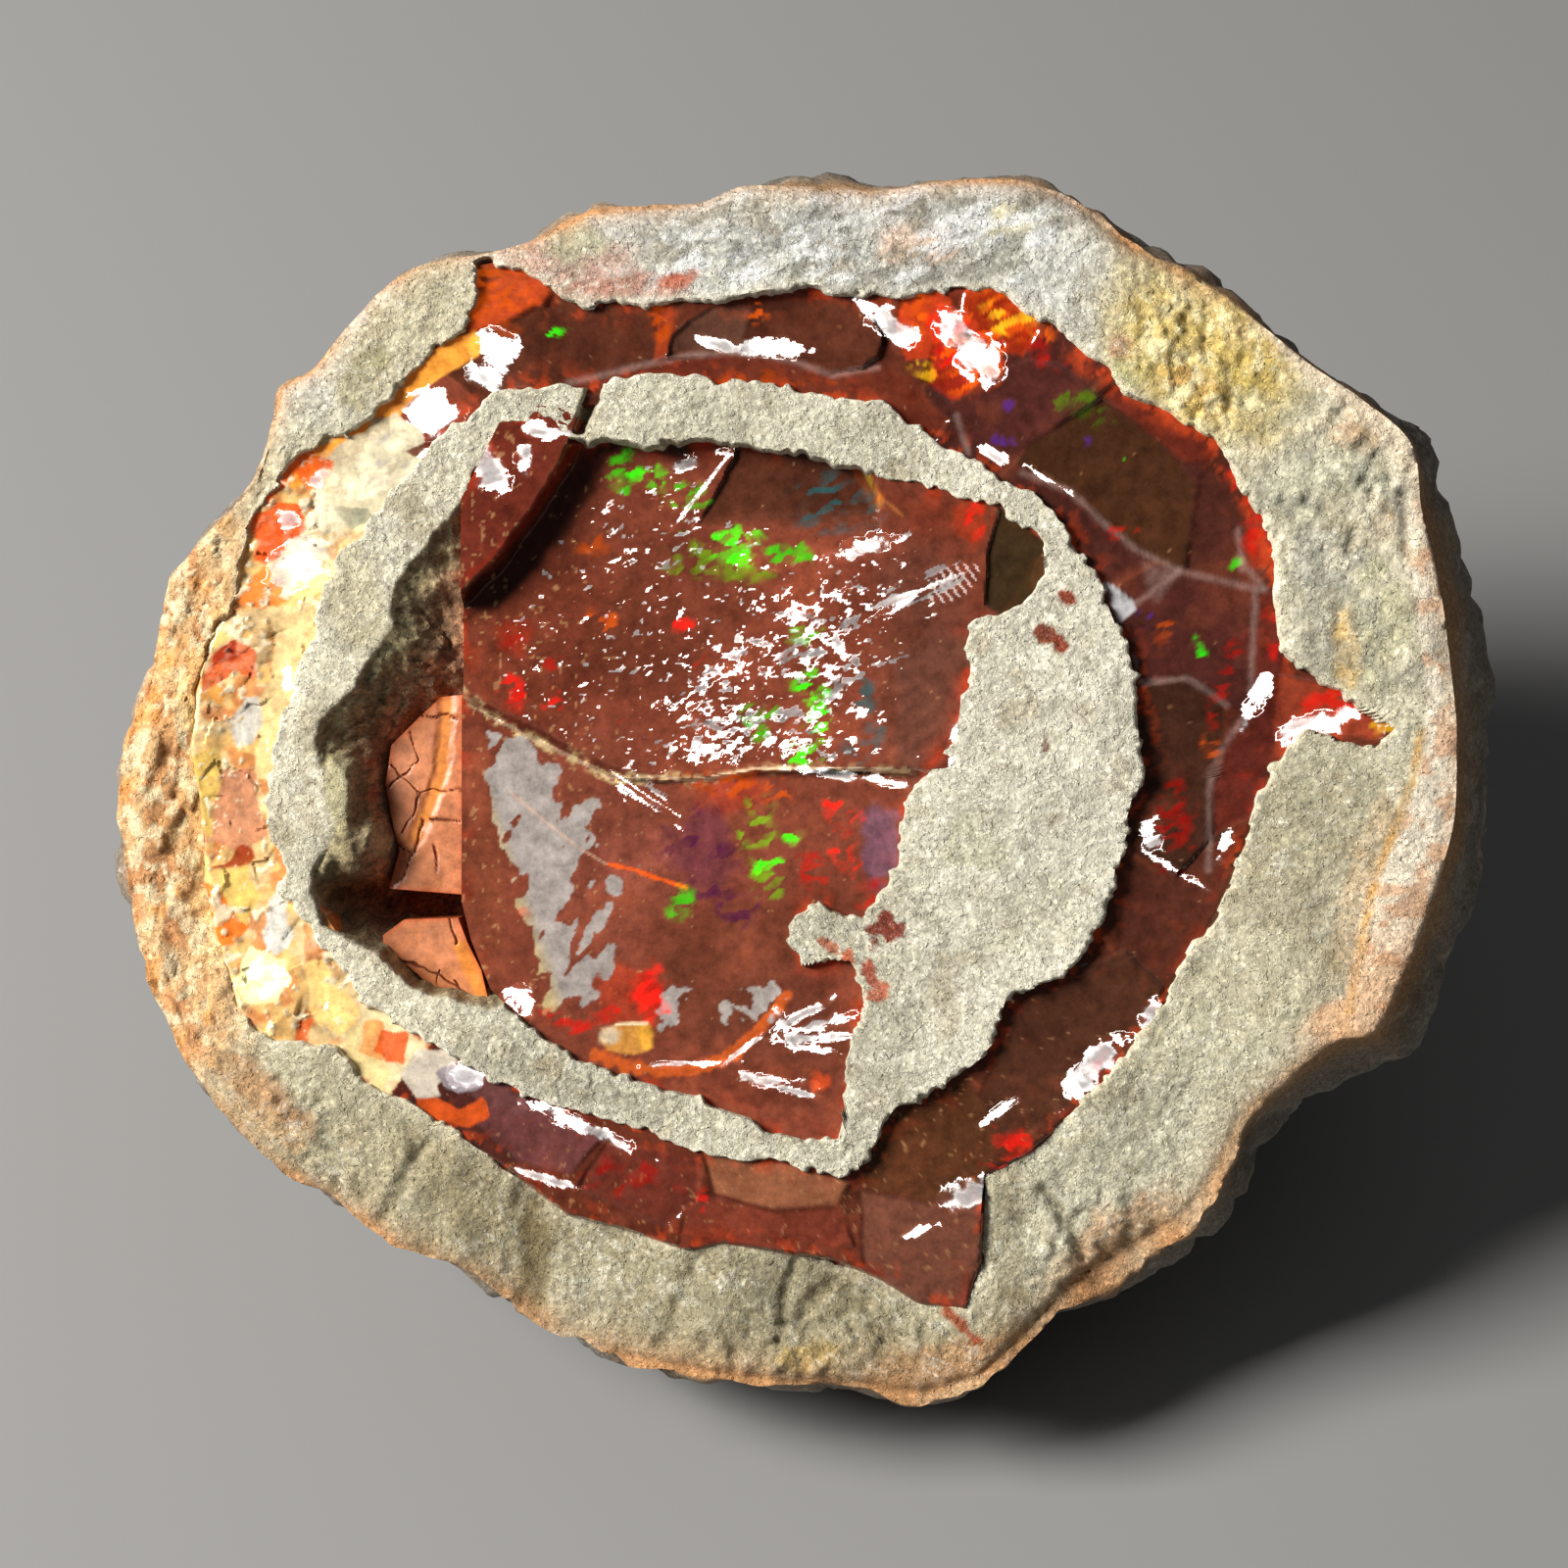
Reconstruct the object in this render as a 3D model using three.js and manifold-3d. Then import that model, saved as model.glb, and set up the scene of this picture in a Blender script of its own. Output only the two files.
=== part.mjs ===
// Half of a broken nodule of rough opal. A shell of pale volcanic rock holds a ring of dark brown opal, then
// a thinner ring of rock, then an opal core. The core's left side has fallen away into a pit, where two
// cracked blocks of the same opal are left. The stone lies on a flat spot of its round back, so its broken
// face looks up and towards the front.
//
// Everything is drawn in the frame of the broken face, in millimetres: u to the right, v up along the face
// and w straight out of it. The last group turns that frame into the part's own, which has +Z up.
import * as THREE from "three";
import { mergeVertices } from "three/addons/utils/BufferGeometryUtils.js";
import Module from "manifold-3d";

const wasm = await Module();
wasm.setup();

const { clamp, degToRad, lerp, smoothstep } = THREE.MathUtils;

// Driving dimensions, in millimetres and degrees.
const FACE_ELEVATION = 48; // how far the face's normal rises above the horizon
const FACE_CENTRE = [-0.7, -5.9, 30]; // where u = v = w = 0 lies in the part's frame
const STONE_DEPTH = 34; // from the broken face to the back
const OPAL_RING_DEPTH = 25;
const INNER_ROCK_DEPTH = 20;
const CORE_DEPTH = 13;
const PIT_DEPTH = 7;
const SEAM = 0.3; // between neighbouring pieces
const BACK_FULLNESS = 2.4; // 2 is an ellipsoid, and more is boxier
const BOWL_CENTRE = [-4, 0];
const FLANK_BULGE = { most: 4.9, least: 1.1, depth: 12, towards: -12 };
const LUMP_HEIGHT = 0.75; // of the knobbly outer skin
const PIT_WALL_SLOPE = 0.62; // how far the pit's upper left wall reaches in at the floor
const SKY = 16; // the top of what is cut away above the face
const STONE_LEVELS = [0.05, 0.13, 0.23, 0.34, 0.45, 0.56, 0.67, 0.77, 0.86, 0.93, 0.975, 0.997];
const BOWL_LEVELS = [0.45, 0.8, 0.97]; // shares of the depth at which a bowl has a ring of points

// The broken face's edge, anticlockwise from the right.
const RIM = [
  [33.1, 1], [32.9, 5], [32.3, 10], [31.4, 14], [30.9, 17.2], [28.5, 19.5], [25.5, 21.6], [22.5, 24],
  [17, 27.3], [14.2, 29.4], [12, 30.5], [9.5, 30.8], [4, 30.1], [-3, 30.5], [-5.2, 29.7], [-11, 29.2],
  [-14, 27.7], [-19.5, 26.5], [-21.2, 25.5], [-25, 21.2], [-26.8, 20.1], [-27.8, 16.1], [-31.5, 11.9],
  [-32.8, 10], [-33.2, 6], [-34.6, -0.5], [-34.6, -4], [-32.8, -11.5], [-31, -15], [-26.5, -19.8],
  [-21, -23.6], [-14.5, -26.6], [-10, -29.2], [-1, -30.6], [6, -31.3], [9, -30.4], [14, -25.6],
  [19.5, -22.2], [21, -20.2], [22.3, -17.3], [27, -13.1], [29, -12.5], [30.6, -9.3], [32.1, -5.2],
];

// Between the outer rock and the opal ring. Its tongues fill cracks in the rock.
const RING_OUTSIDE = [
  [24.4, 6.5], [24, 12], [21, 17.5], [16, 20.5], [11.8, 24], [10, 25.2], [3, 25.1], [-5, 24.8],
  [-11.5, 24.4], [-14, 25.9], [-16.2, 27], [-17, 26.2], [-17.4, 23.4], [-21.5, 19.5], [-26, 16.7],
  [-28.5, 12.5], [-30.8, 6], [-31.2, 2], [-30.5, -5], [-28.8, -11.5], [-27, -13.3], [-22.2, -15.2],
  [-17.5, -18], [-12, -22], [-6, -23.8], [1.5, -24.2], [4, -25.2], [6, -26.5], [8.3, -26.7], [9.1, -24],
  [9.4, -20], [14, -16.5], [18.8, -10.5], [22.7, -2.5], [24.2, 1], [26, 2.2], [29, 2.5], [29.4, 3.4],
  [27, 4.2], [25, 5],
];

// Between the opal ring and the inner rock.
const INNER_OUTSIDE = [
  [17.4, 2], [17, 5.5], [15.2, 10], [10, 15.8], [4, 19.2], [-3, 20.5], [-10, 20.3], [-15.5, 20],
  [-19.5, 16.5], [-23.8, 11.5], [-26, 5], [-27.2, 1.5], [-27.2, -2], [-24.5, -8.3], [-19.5, -13],
  [-13, -16.2], [-5, -18.8], [1.8, -20.1], [3.4, -19.2], [4.2, -16.8], [9.5, -13.5], [10.8, -10.5],
  [13.5, -9.5], [15.5, -7], [16.5, -3],
];

// Between the inner rock and the opal core, without the pit and the rock's tongue.
const CORE_OUTSIDE = [
  [8.2, 5], [8.5, 8], [12, 10.5], [12.2, 12.2], [7, 14.8], [0.5, 17], [-3.5, 17.6], [-11, 17.5],
  [-15.5, 18.5], [-16.6, 16.5], [-17.4, 14], [-17.5, 6], [-17.5, -5], [-16.8, -8], [-15.4, -11.6],
  [-12.5, -13.5], [-5, -16.2], [2, -18.4], [2.4, -15], [2.8, -9], [3.5, -6.5], [4.8, -4.5], [5.2, -1],
  [7.6, 2.2],
];

// A tongue of the inner rock that reaches into the core at its lower right.
const TONGUE = {
  depth: 3,
  outline: [[-0.9, -7.5], [0.1, -8.9], [2.4, -9.4], [5.5, -9.6], [6, -6.4], [3.2, -6.7], [0.7, -6]],
};

// The pit left of the core, at the face.
const PIT = [
  [-17.2, 14.6], [-19.5, 12], [-21.3, 8.8], [-23.5, 5], [-24.9, 2.8], [-24.5, -1], [-25, -5.2],
  [-23.8, -7.8], [-21.8, -8.8], [-20, -10.6], [-17, -11.6], [-15.9, -11], [-16.9, -8], [-17.6, -5],
  [-17.6, 6],
];

// Two blocks of cracked opal on the pit's floor, with the height of their tops.
const UPPER_BLOCK = {
  top: -3.1,
  outline: [
    [-18, 4.2], [-19, 4.3], [-19.8, 3.3], [-20.8, 2], [-21.5, 0], [-21.2, -2.2], [-20.4, -3.6], [-21.3, -5.2],
    [-18, -5.2],
  ],
};
const LOWER_BLOCK = {
  top: -2.5,
  outline: [
    [-18, -6.8], [-20.5, -6.7], [-21.5, -7.3], [-21.4, -8.2], [-20.3, -9.4], [-19.2, -10.3], [-18.1, -10.8],
    [-16.7, -10.8], [-17.5, -8.6],
  ],
};

// Shallow scoops of the shell-like fracture in the opal: centre, lowest point and how steeply each one rises.
const RING_SCOOPS = [
  { at: [-10, 22.5], low: -1.3, rise: 0.03 }, { at: [1, 22.8], low: -1.5, rise: 0.035 },
  { at: [9, 21.5], low: -0.9, rise: 0.05 }, { at: [14, 17.5], low: -1.4, rise: 0.03 },
  { at: [20, 10], low: -1.7, rise: 0.025 }, { at: [20.5, 1], low: -1.5, rise: 0.03 },
  { at: [17, -8], low: -1.3, rise: 0.04 }, { at: [8, -18], low: -1.9, rise: 0.03 },
  { at: [-2, -21.5], low: -1.1, rise: 0.04 }, { at: [-12, -18.5], low: -1.5, rise: 0.04 },
  { at: [-21, -13.5], low: -1, rise: 0.05 }, { at: [-27, -8], low: -2.3, rise: 0.05 },
  { at: [-28, 1], low: -2.2, rise: 0.05 }, { at: [-27, 9], low: -1.7, rise: 0.05 },
  { at: [-20, 18], low: -1, rise: 0.05 },
];

// The core's surface has three levels. A high splinter is left at the upper left. Right of it a wide scooped
// plane ends below at a step, and under the step lies a flatter, higher plane.
const STEP_LINE = [[-18.8, 4.9], [-14.2, 1.7], [-9, 0.2], [-3.5, 0.5], [1, 0.9], [7, 0.4], [15, 0.5]];
const SPLINTER_TOP = 0.2;
const SCOOP = {
  at: [-8, 8],
  low: -2.7,
  rise: 0.006,
  outline: [...STEP_LINE, [15, 21], [-10.6, 21], [-11.6, 18], [-13.6, 15.2], [-15.6, 12.6], [-18.8, 9.2]],
};
const LOWER_PLANE = {
  at: -0.75,
  outline: [[15, -21], ...STEP_LINE.toReversed().map(([u, v]) => [u, v + 0.01]), [-18.8, -21]],
};

// The grids of the broken surfaces.
const WHOLE_FACE = { from: [-36, -33], to: [36, 33], step: 2.6 };
const MIDDLE = { from: [-29, -22], to: [19, 22], step: 2.4 };
const CORE_AREA = { from: [-19, -21], to: [15, 21], step: 2 };

const FACE_TO_PART = new THREE.Matrix4()
  .makeRotationX(degToRad(90 - FACE_ELEVATION))
  .setPosition(...FACE_CENTRE);

// A smooth closed curve through hand-set points, as evenly spaced points.
function smooth(points, count) {
  const curve = new THREE.CatmullRomCurve3(
    points.map(([u, v]) => new THREE.Vector3(u, v, 0)),
    true,
    "centripetal",
  );
  return curve.getSpacedPoints(count).slice(0, count).map((p) => [p.x, p.y]);
}

// Moves each point of an anticlockwise outline outwards.
function widen(outline, by) {
  return outline.map(([u, v], i) => {
    const before = outline.at(i - 1);
    const after = outline[(i + 1) % outline.length];
    const along = [after[0] - before[0], after[1] - before[1]];
    const length = Math.hypot(...along);
    return [u + (along[1] / length) * by, v - (along[0] / length) * by];
  });
}

// A closed solid from rings of equally many [u, v, w] points, from the top one down.
function solidOfRings(rings) {
  const count = rings[0].length;
  const corners = rings.flat().flat();
  const faces = [];
  const flat = (ring) => ring.map(([u, v]) => new THREE.Vector2(u, v));
  for (const [a, b, c] of THREE.ShapeUtils.triangulateShape(flat(rings[0]), [])) faces.push(a, b, c);
  for (let ring = 0; ring < rings.length - 1; ring += 1) {
    for (let i = 0; i < count; i += 1) {
      const upper = ring * count + i;
      const upperNext = ring * count + ((i + 1) % count);
      faces.push(upper, upper + count, upperNext, upperNext, upper + count, upperNext + count);
    }
  }
  const last = (rings.length - 1) * count;
  for (const [a, b, c] of THREE.ShapeUtils.triangulateShape(flat(rings.at(-1)), [])) {
    faces.push(last + c, last + b, last + a);
  }
  return solidOfMesh(corners, faces);
}

function solidOfMesh(corners, faces) {
  return new wasm.Manifold(
    new wasm.Mesh({
      numProp: 3,
      vertProperties: new Float32Array(corners),
      triVerts: new Uint32Array(faces),
    }),
  );
}

function solidOfGeometry(geometry) {
  geometry.deleteAttribute("normal");
  geometry.deleteAttribute("uv");
  const merged = mergeVertices(geometry, 1e-4);
  return solidOfMesh(merged.attributes.position.array, merged.index.array);
}

// Everything above a surface w = heightAt(u, v), over a rectangle of the face.
function above(heightAt, { from, to, step }) {
  const [width, height] = [to[0] - from[0], to[1] - from[1]];
  const box = new THREE.BoxGeometry(width, height, 1, Math.round(width / step), Math.round(height / step), 1);
  box.translate(from[0] + width / 2, from[1] + height / 2, 0);
  const place = box.attributes.position;
  for (let i = 0; i < place.count; i += 1) {
    place.setZ(i, place.getZ(i) > 0 ? SKY : heightAt(place.getX(i), place.getY(i)));
  }
  return solidOfGeometry(box);
}

// How far a point is from a closed outline.
function distanceTo(outline, u, v) {
  let least = Infinity;
  outline.forEach(([au, av], i) => {
    const [bu, bv] = outline[(i + 1) % outline.length];
    const [du, dv] = [bu - au, bv - av];
    const share = ((u - au) * du + (v - av) * dv) / (du * du + dv * dv);
    const t = clamp(share, 0, 1);
    least = Math.min(least, Math.hypot(u - au - t * du, v - av - t * dv));
  });
  return least;
}

const rimLine = smooth(RIM, 80);

// The outer rock's broken surface: gentle swells, flakes along the bottom, a lower panel at the lower right,
// and a worn edge that rolls over, most of all on the right.
function outerRockHeight(u, v) {
  const swell = 0.35 * Math.sin(u / 5.1 + 1.3) * Math.cos(v / 4.3 - 0.6);
  const ripple = 0.2 * Math.sin(u / 2.3 + v / 3.1);
  const right = smoothstep(u, 18, 30);
  const worn = (1.1 + 1.4 * right) * Math.exp(-distanceTo(rimLine, u, v) / (1.1 + 1.6 * right));
  const flakes = smoothstep(-v, 13, 24) * (0.9 + 0.7 * Math.abs(Math.sin(u / 4.4 + 0.9)));
  const panel = 0.7 * smoothstep(u, 12, 18) * smoothstep(-v, -3.5, -1);
  const left = 1.2 * smoothstep(-u, 26, 31) * smoothstep(14 - Math.abs(v), 0, 6);
  return 0.4 + swell + ripple - worn - flakes - panel - left;
}

// The inner rock stands a little proud, and its wide right side is domed.
function innerRockHeight(u, v) {
  const dome = 0.8 * Math.exp(-((u - 11) ** 2 / 40 + (v + 1) ** 2 / 130));
  return 0.3 + dome + 0.2 * Math.sin(u / 1.9 + 0.4) * Math.sin(v / 2.2);
}

// The opal ring's surface is the lowest of its scoops at every point.
function ringHeight(u, v) {
  return Math.min(
    -0.2,
    ...RING_SCOOPS.map(({ at, low, rise }) => low + rise * ((u - at[0]) ** 2 + (v - at[1]) ** 2)),
  );
}

function scoopHeight(u, v) {
  return SCOOP.low + SCOOP.rise * ((u - SCOOP.at[0]) ** 2 + (v - SCOOP.at[1]) ** 2);
}

function lowerPlaneHeight(u, v) {
  return LOWER_PLANE.at + 0.15 * Math.sin(u / 3.4) - 0.02 * (v + 6);
}

// What is broken off the core down to one of its levels.
function brokenOff(heightAt, outline) {
  const at = (w) => outline.map(([u, v]) => [u, v, w]);
  return above(heightAt, CORE_AREA).intersect(solidOfRings([at(SKY), at(-PIT_DEPTH)]));
}

// How much of a bowl's or the stone's width is left at a share of its depth.
const fullness = (share) => (1 - share ** BACK_FULLNESS) ** (1 / BACK_FULLNESS);

// A bowl below an outline of the face, which narrows as it goes down.
function bowl(outline, depth) {
  const [cu, cv] = BOWL_CENTRE;
  const at = (scale, w) => outline.map(([u, v]) => [cu + (u - cu) * scale, cv + (v - cv) * scale, w]);
  const below = BOWL_LEVELS.map((share) => at(fullness(share), -share * depth));
  return solidOfRings([at(1, SKY / 2), at(1, 0), ...below]);
}

// The knobbly skin of the back, as an outward shift.
function lump(u, v, w) {
  const wide = Math.sin(u / 4.1 + 0.7) * Math.sin(v / 3.7 + 1.9) * Math.sin(w / 3.9 - 0.5);
  const small = Math.sin(u / 1.9 - w / 2.6) * Math.sin(v / 2.1 + w / 2.3 + 0.8);
  return LUMP_HEIGHT * (wide + 0.55 * small);
}

// The whole stone, before the flat spot that it rests on is cut.
function stoneSolid() {
  const towards = degToRad(FLANK_BULGE.towards);
  const ringAt = (share) =>
    rimLine.map(([u, v]) => {
      const depth = share * STONE_DEPTH;
      const radius = Math.hypot(u, v);
      const facing = Math.max(0, Math.cos(Math.atan2(v, u) - towards)) ** 2;
      const peak = (depth / FLANK_BULGE.depth) * Math.exp(1 - depth / FLANK_BULGE.depth);
      const bulge = lerp(FLANK_BULGE.least, FLANK_BULGE.most, facing) * peak;
      const grown = (radius + bulge) * fullness(share);
      const [nu, nv] = [u / radius, v / radius];
      const skin = grown + Math.min(1, depth / 3) * lump(nu * grown, nv * grown, -depth);
      return [nu * skin, nv * skin, -depth];
    });
  const straight = (w) => rimLine.map(([u, v]) => [u, v, w]);
  return solidOfRings([straight(SKY / 2), straight(0), ...STONE_LEVELS.map(ringAt)]);
}

// Everything below the surface that the stone lies on.
function groundSolid() {
  const side = 200;
  const ground = new THREE.BoxGeometry(side, side, side).translate(0, 0, -side / 2);
  return solidOfGeometry(ground.applyMatrix4(FACE_TO_PART.clone().invert()));
}

// The pit narrows downwards under its sloping upper left wall.
function pitSolid() {
  const wall = PIT[PIT.length - 1][0];
  const at = (share, w) =>
    PIT.map(([u, v]) => {
      const slope = PIT_WALL_SLOPE * share * smoothstep(v, -1, 5);
      return [lerp(u, wall, slope), v, w];
    });
  return solidOfRings([at(0, SKY / 2), at(0, 0), at(0.6, -PIT_DEPTH / 2), at(1, -PIT_DEPTH)]);
}

function blockSolid({ top, outline }) {
  const at = (inset, w) => widen(outline, -inset).map(([u, v]) => [u, v, w]);
  return solidOfRings([at(0.12, top), at(0, top - 0.2), at(0, SEAM - PIT_DEPTH)]);
}

function tongueSolid(wider) {
  const at = (w) => widen(TONGUE.outline, wider).map(([u, v]) => [u, v, w]);
  return solidOfRings([at(SKY / 2), at(-TONGUE.depth - wider)]);
}

const ring = smooth(RING_OUTSIDE, 84);
const inner = smooth(INNER_OUTSIDE, 56);
const core = smooth(CORE_OUTSIDE, 56);

const opalRingBowl = bowl(ring, OPAL_RING_DEPTH);
const innerRockBowl = bowl(inner, INNER_ROCK_DEPTH);
const coreBowl = bowl(core, CORE_DEPTH);
const pit = pitSolid();

const hostRock = stoneSolid()
  .subtract(groundSolid())
  .subtract(above(outerRockHeight, WHOLE_FACE))
  .subtract(bowl(widen(ring, SEAM), OPAL_RING_DEPTH + SEAM));
const opalRing = opalRingBowl
  .subtract(above(ringHeight, WHOLE_FACE))
  .subtract(bowl(widen(inner, SEAM), INNER_ROCK_DEPTH + SEAM));
const innerRock = innerRockBowl
  .subtract(bowl(widen(core, SEAM), CORE_DEPTH + SEAM))
  .add(tongueSolid(0))
  .subtract(above(innerRockHeight, MIDDLE))
  .subtract(pit);
const opalCore = coreBowl
  .subtract(tongueSolid(SEAM))
  .subtract(above(() => SPLINTER_TOP, CORE_AREA))
  .subtract(brokenOff(scoopHeight, SCOOP.outline))
  .subtract(brokenOff(lowerPlaneHeight, LOWER_PLANE.outline))
  .subtract(pit);

const ROCK = { color: 0xb9b6a2, roughness: 0.95, metalness: 0 };
const OPAL = { color: 0x4a1d12, roughness: 0.12, metalness: 0 };
const PALE_OPAL = { color: 0xc9794c, roughness: 0.3, metalness: 0 };

function piece(name, solid, look) {
  const { vertProperties, triVerts } = solid.getMesh();
  const geometry = new THREE.BufferGeometry();
  geometry.setAttribute("position", new THREE.BufferAttribute(vertProperties, 3));
  geometry.setIndex(new THREE.BufferAttribute(triVerts, 1));
  const shaped = geometry.toNonIndexed();
  shaped.computeVertexNormals();
  const mesh = new THREE.Mesh(shaped, new THREE.MeshStandardMaterial(look));
  mesh.name = name;
  return mesh;
}

const stone = new THREE.Group();
stone.rotation.x = degToRad(90 - FACE_ELEVATION);
stone.position.set(...FACE_CENTRE);
stone.add(
  piece("host_rock", hostRock, ROCK),
  piece("opal_ring", opalRing, OPAL),
  piece("inner_rock", innerRock, ROCK),
  piece("opal_core", opalCore, OPAL),
  piece("cracked_opal_upper", blockSolid(UPPER_BLOCK), PALE_OPAL),
  piece("cracked_opal_lower", blockSolid(LOWER_BLOCK), PALE_OPAL),
);

const part = new THREE.Group();
part.add(stone);

export default part;
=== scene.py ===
# Half of a broken nodule of rough opal, dressed around its imported frame. The broken surfaces are meshes
# computed here with numpy, each in place of one CAD node. Their colours, glow and finish are vertex
# attributes, set from listed features, and the materials add grain to them.
#
# Everything is drawn in the frame of the broken face, in millimetres: u to the right, v up along the face
# and w straight out of it. to_part() turns that frame into the part's own, in metres.
import itertools
import math

import bpy
import numpy as np
from mathutils import Matrix, Vector


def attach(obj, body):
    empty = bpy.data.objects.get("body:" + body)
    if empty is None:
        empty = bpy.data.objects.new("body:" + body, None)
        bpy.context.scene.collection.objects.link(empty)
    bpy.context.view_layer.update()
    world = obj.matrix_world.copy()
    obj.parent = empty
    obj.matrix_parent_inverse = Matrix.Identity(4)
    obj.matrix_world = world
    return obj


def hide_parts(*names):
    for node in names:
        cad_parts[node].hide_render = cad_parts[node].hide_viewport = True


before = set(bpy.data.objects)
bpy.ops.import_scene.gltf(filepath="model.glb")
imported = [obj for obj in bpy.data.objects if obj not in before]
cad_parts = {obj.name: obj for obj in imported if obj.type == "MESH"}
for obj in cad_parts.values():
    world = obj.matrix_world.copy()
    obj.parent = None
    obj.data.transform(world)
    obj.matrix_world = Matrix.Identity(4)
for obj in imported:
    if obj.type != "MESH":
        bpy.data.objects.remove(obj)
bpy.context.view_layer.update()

# Driving dimensions, in millimetres and degrees, as in the part's solids.
FACE_ELEVATION = math.radians(48)  # how far the face's normal rises above the horizon
FACE_CENTRE = np.array([-0.7, -5.9, 30.0])  # where u = v = w = 0 lies in the part's frame
STONE_DEPTH = 34.0
OPAL_RING_DEPTH = 25.0
INNER_ROCK_DEPTH = 20.0
CORE_DEPTH = 13.0
PIT_DEPTH = 7.0
SEAM = 0.3
BACK_FULLNESS = 2.4
BOWL_CENTRE = np.array([-4.0, 0.0])
FLANK_BULGE = {"most": 4.0, "least": 1.0, "depth": 13.0, "towards": math.radians(-4)}
LUMP_HEIGHT = 0.75
KNOB_SIZE, HOLLOW_SIZE = 3.1, 1.3  # the knobs and small hollows of the skin
PER_METRE = 1000
RING_OVERLAP = 0.9  # how far a ring's broken surface runs on under its neighbours
HOST_OVERLAP = 1.1

# How fine the meshes are: points round and rows across each piece, rows down the back, and the core's grid.
HOST_COLUMNS, HOST_ROWS, BACK_ROWS = 1100, 52, 72
RING_COLUMNS, RING_ROWS = 1480, 60
INNER_COLUMNS, INNER_ROWS = 1240, 68
BLOCK_COLUMNS, BLOCK_ROWS = 240, 40
CORE_STEP = 0.1

# The face's edge, anticlockwise from the right.
RIM = [
    (33.15, 1), (32.9, 5), (32.3, 10), (31.4, 14), (30.9, 17.25), (28.5, 19.5), (25.5, 21.6), (22.5, 24),
    (20, 25.65), (17, 27.35), (14.25, 29.4), (12, 30.5), (9.5, 30.85), (6.75, 30.7), (4, 30.15),
    (0.5, 30.4), (-3, 30.5), (-5.25, 29.7), (-8, 29.5), (-11, 29.2), (-14, 27.75), (-16.5, 27.1),
    (-19.5, 26.5), (-21.25, 25.5), (-23.5, 23.25), (-25, 21.25), (-26.75, 20.15), (-27.1, 18.5),
    (-27.85, 16.15), (-29.5, 13.75), (-31.5, 11.9), (-32.75, 10), (-33.25, 6), (-34, 3), (-34.65, -0.5),
    (-34.65, -4), (-34, -7.5), (-32.75, -11.5), (-31, -15), (-28.5, -17.75), (-26.5, -19.75),
    (-24, -21.25), (-21, -23.6), (-17.5, -24.85), (-14.5, -26.6), (-10, -29.25), (-6, -30), (-1, -30.65),
    (3, -30.85), (6, -31.35), (9, -30.4), (11, -28.5), (14, -25.6), (17, -23.75), (19.5, -22.25),
    (21, -20.25), (22.25, -17.25), (24.5, -15), (27, -13.1), (29, -12.5), (30.6, -9.25), (32.1, -5.25),
    (33, -2),
]

# Between the outer rock and the opal ring.
RING_OUTSIDE = [
    (25.2, 6.1), (24.5, 6.9), (24.25, 9), (24, 12), (22.5, 15), (21, 17.5), (18.5, 19.25), (16, 20.5),
    (14, 22.5), (11.75, 24), (10, 25.25), (6.5, 25.1), (3, 25.1), (-1, 25.4), (-5, 24.75), (-8.5, 24.6),
    (-11.5, 24.4), (-13, 25.5), (-15, 26.4), (-16.25, 27.1), (-17, 26.9), (-16.9, 25), (-17.5, 23.25),
    (-19.5, 21.75), (-21.5, 19.5), (-23.5, 17.75), (-26, 16.75), (-27.5, 14.75), (-28.5, 12.5),
    (-29.25, 9.5), (-30.75, 6), (-31.25, 2), (-30.75, -1.5), (-30.5, -5), (-29.75, -8.5),
    (-28.75, -11.5), (-27, -13.25), (-24, -13.75), (-22.25, -15.25), (-19.5, -16.5), (-17.5, -18),
    (-14.5, -20), (-12, -22), (-9, -22.75), (-6, -23.75), (-4, -23.4), (-1, -23.9), (1.5, -24.25),
    (4, -25.25), (6, -26.5), (8.25, -26.75), (9, -24.5), (9.25, -20), (11.5, -18.75), (14, -16.5),
    (16.5, -14), (18.75, -10.5), (21, -6.5), (22.75, -2.5), (24, 1), (25.6, 2.4), (29.2, 1.9), (30.4, 2.8),
    (27.4, 4.9),
]

# Between the opal ring and the inner rock.
INNER_OUTSIDE = [
    (17.4, 2), (17, 5.5), (15.25, 10), (13.25, 13.25), (10, 15.75), (7, 17.5), (4, 19.25), (0.5, 20),
    (-3, 20.5), (-6.5, 20.85), (-10, 20.35), (-13, 20.35), (-15.5, 20), (-17.75, 18.5), (-19.5, 16.5),
    (-21.5, 14.25), (-23.75, 11.5), (-25.1, 8), (-26, 5), (-27.25, 1.5), (-27.25, -2), (-26.4, -5.5),
    (-24.5, -8.25), (-22.5, -10.75), (-19.5, -13), (-16, -15), (-13, -16.25), (-9, -17.5), (-5, -18.75),
    (-1, -19.25), (1.75, -20.1), (3.25, -19.25), (4.25, -16.75), (7, -15.5), (9.5, -13.5),
    (10.75, -10.5), (13.5, -9.5), (15.5, -7), (16.25, -3.5),
]

# Between the inner rock and the core. The core's left side, by the pit, runs from (-17.5, 14.5) down.
CORE_OUTSIDE = [
    (7.75, 2.5), (8.25, 5), (8.5, 8), (10.5, 9), (12, 10.5), (12.25, 12.25), (10, 14), (7, 14.75),
    (3.5, 16), (0.5, 17), (-3.5, 17.6), (-7, 17.25), (-11, 17.5), (-13, 18.5), (-15.5, 18.5),
    (-16.5, 16.5), (-17.5, 14.5), (-17.5, 9), (-17.5, 2), (-17.5, -6), (-17, -8), (-16, -10.5),
    (-15, -11.5), (-12.5, -13.5), (-9, -15), (-5, -16.25), (-1, -18), (2, -18.4), (2.25, -15),
    (3, -11.5), (2.5, -9), (0, -9.25), (-0.9, -7.25), (0.75, -6), (3, -7), (4.75, -4.5), (5.25, -1),
    (6.5, 1),
]

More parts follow.
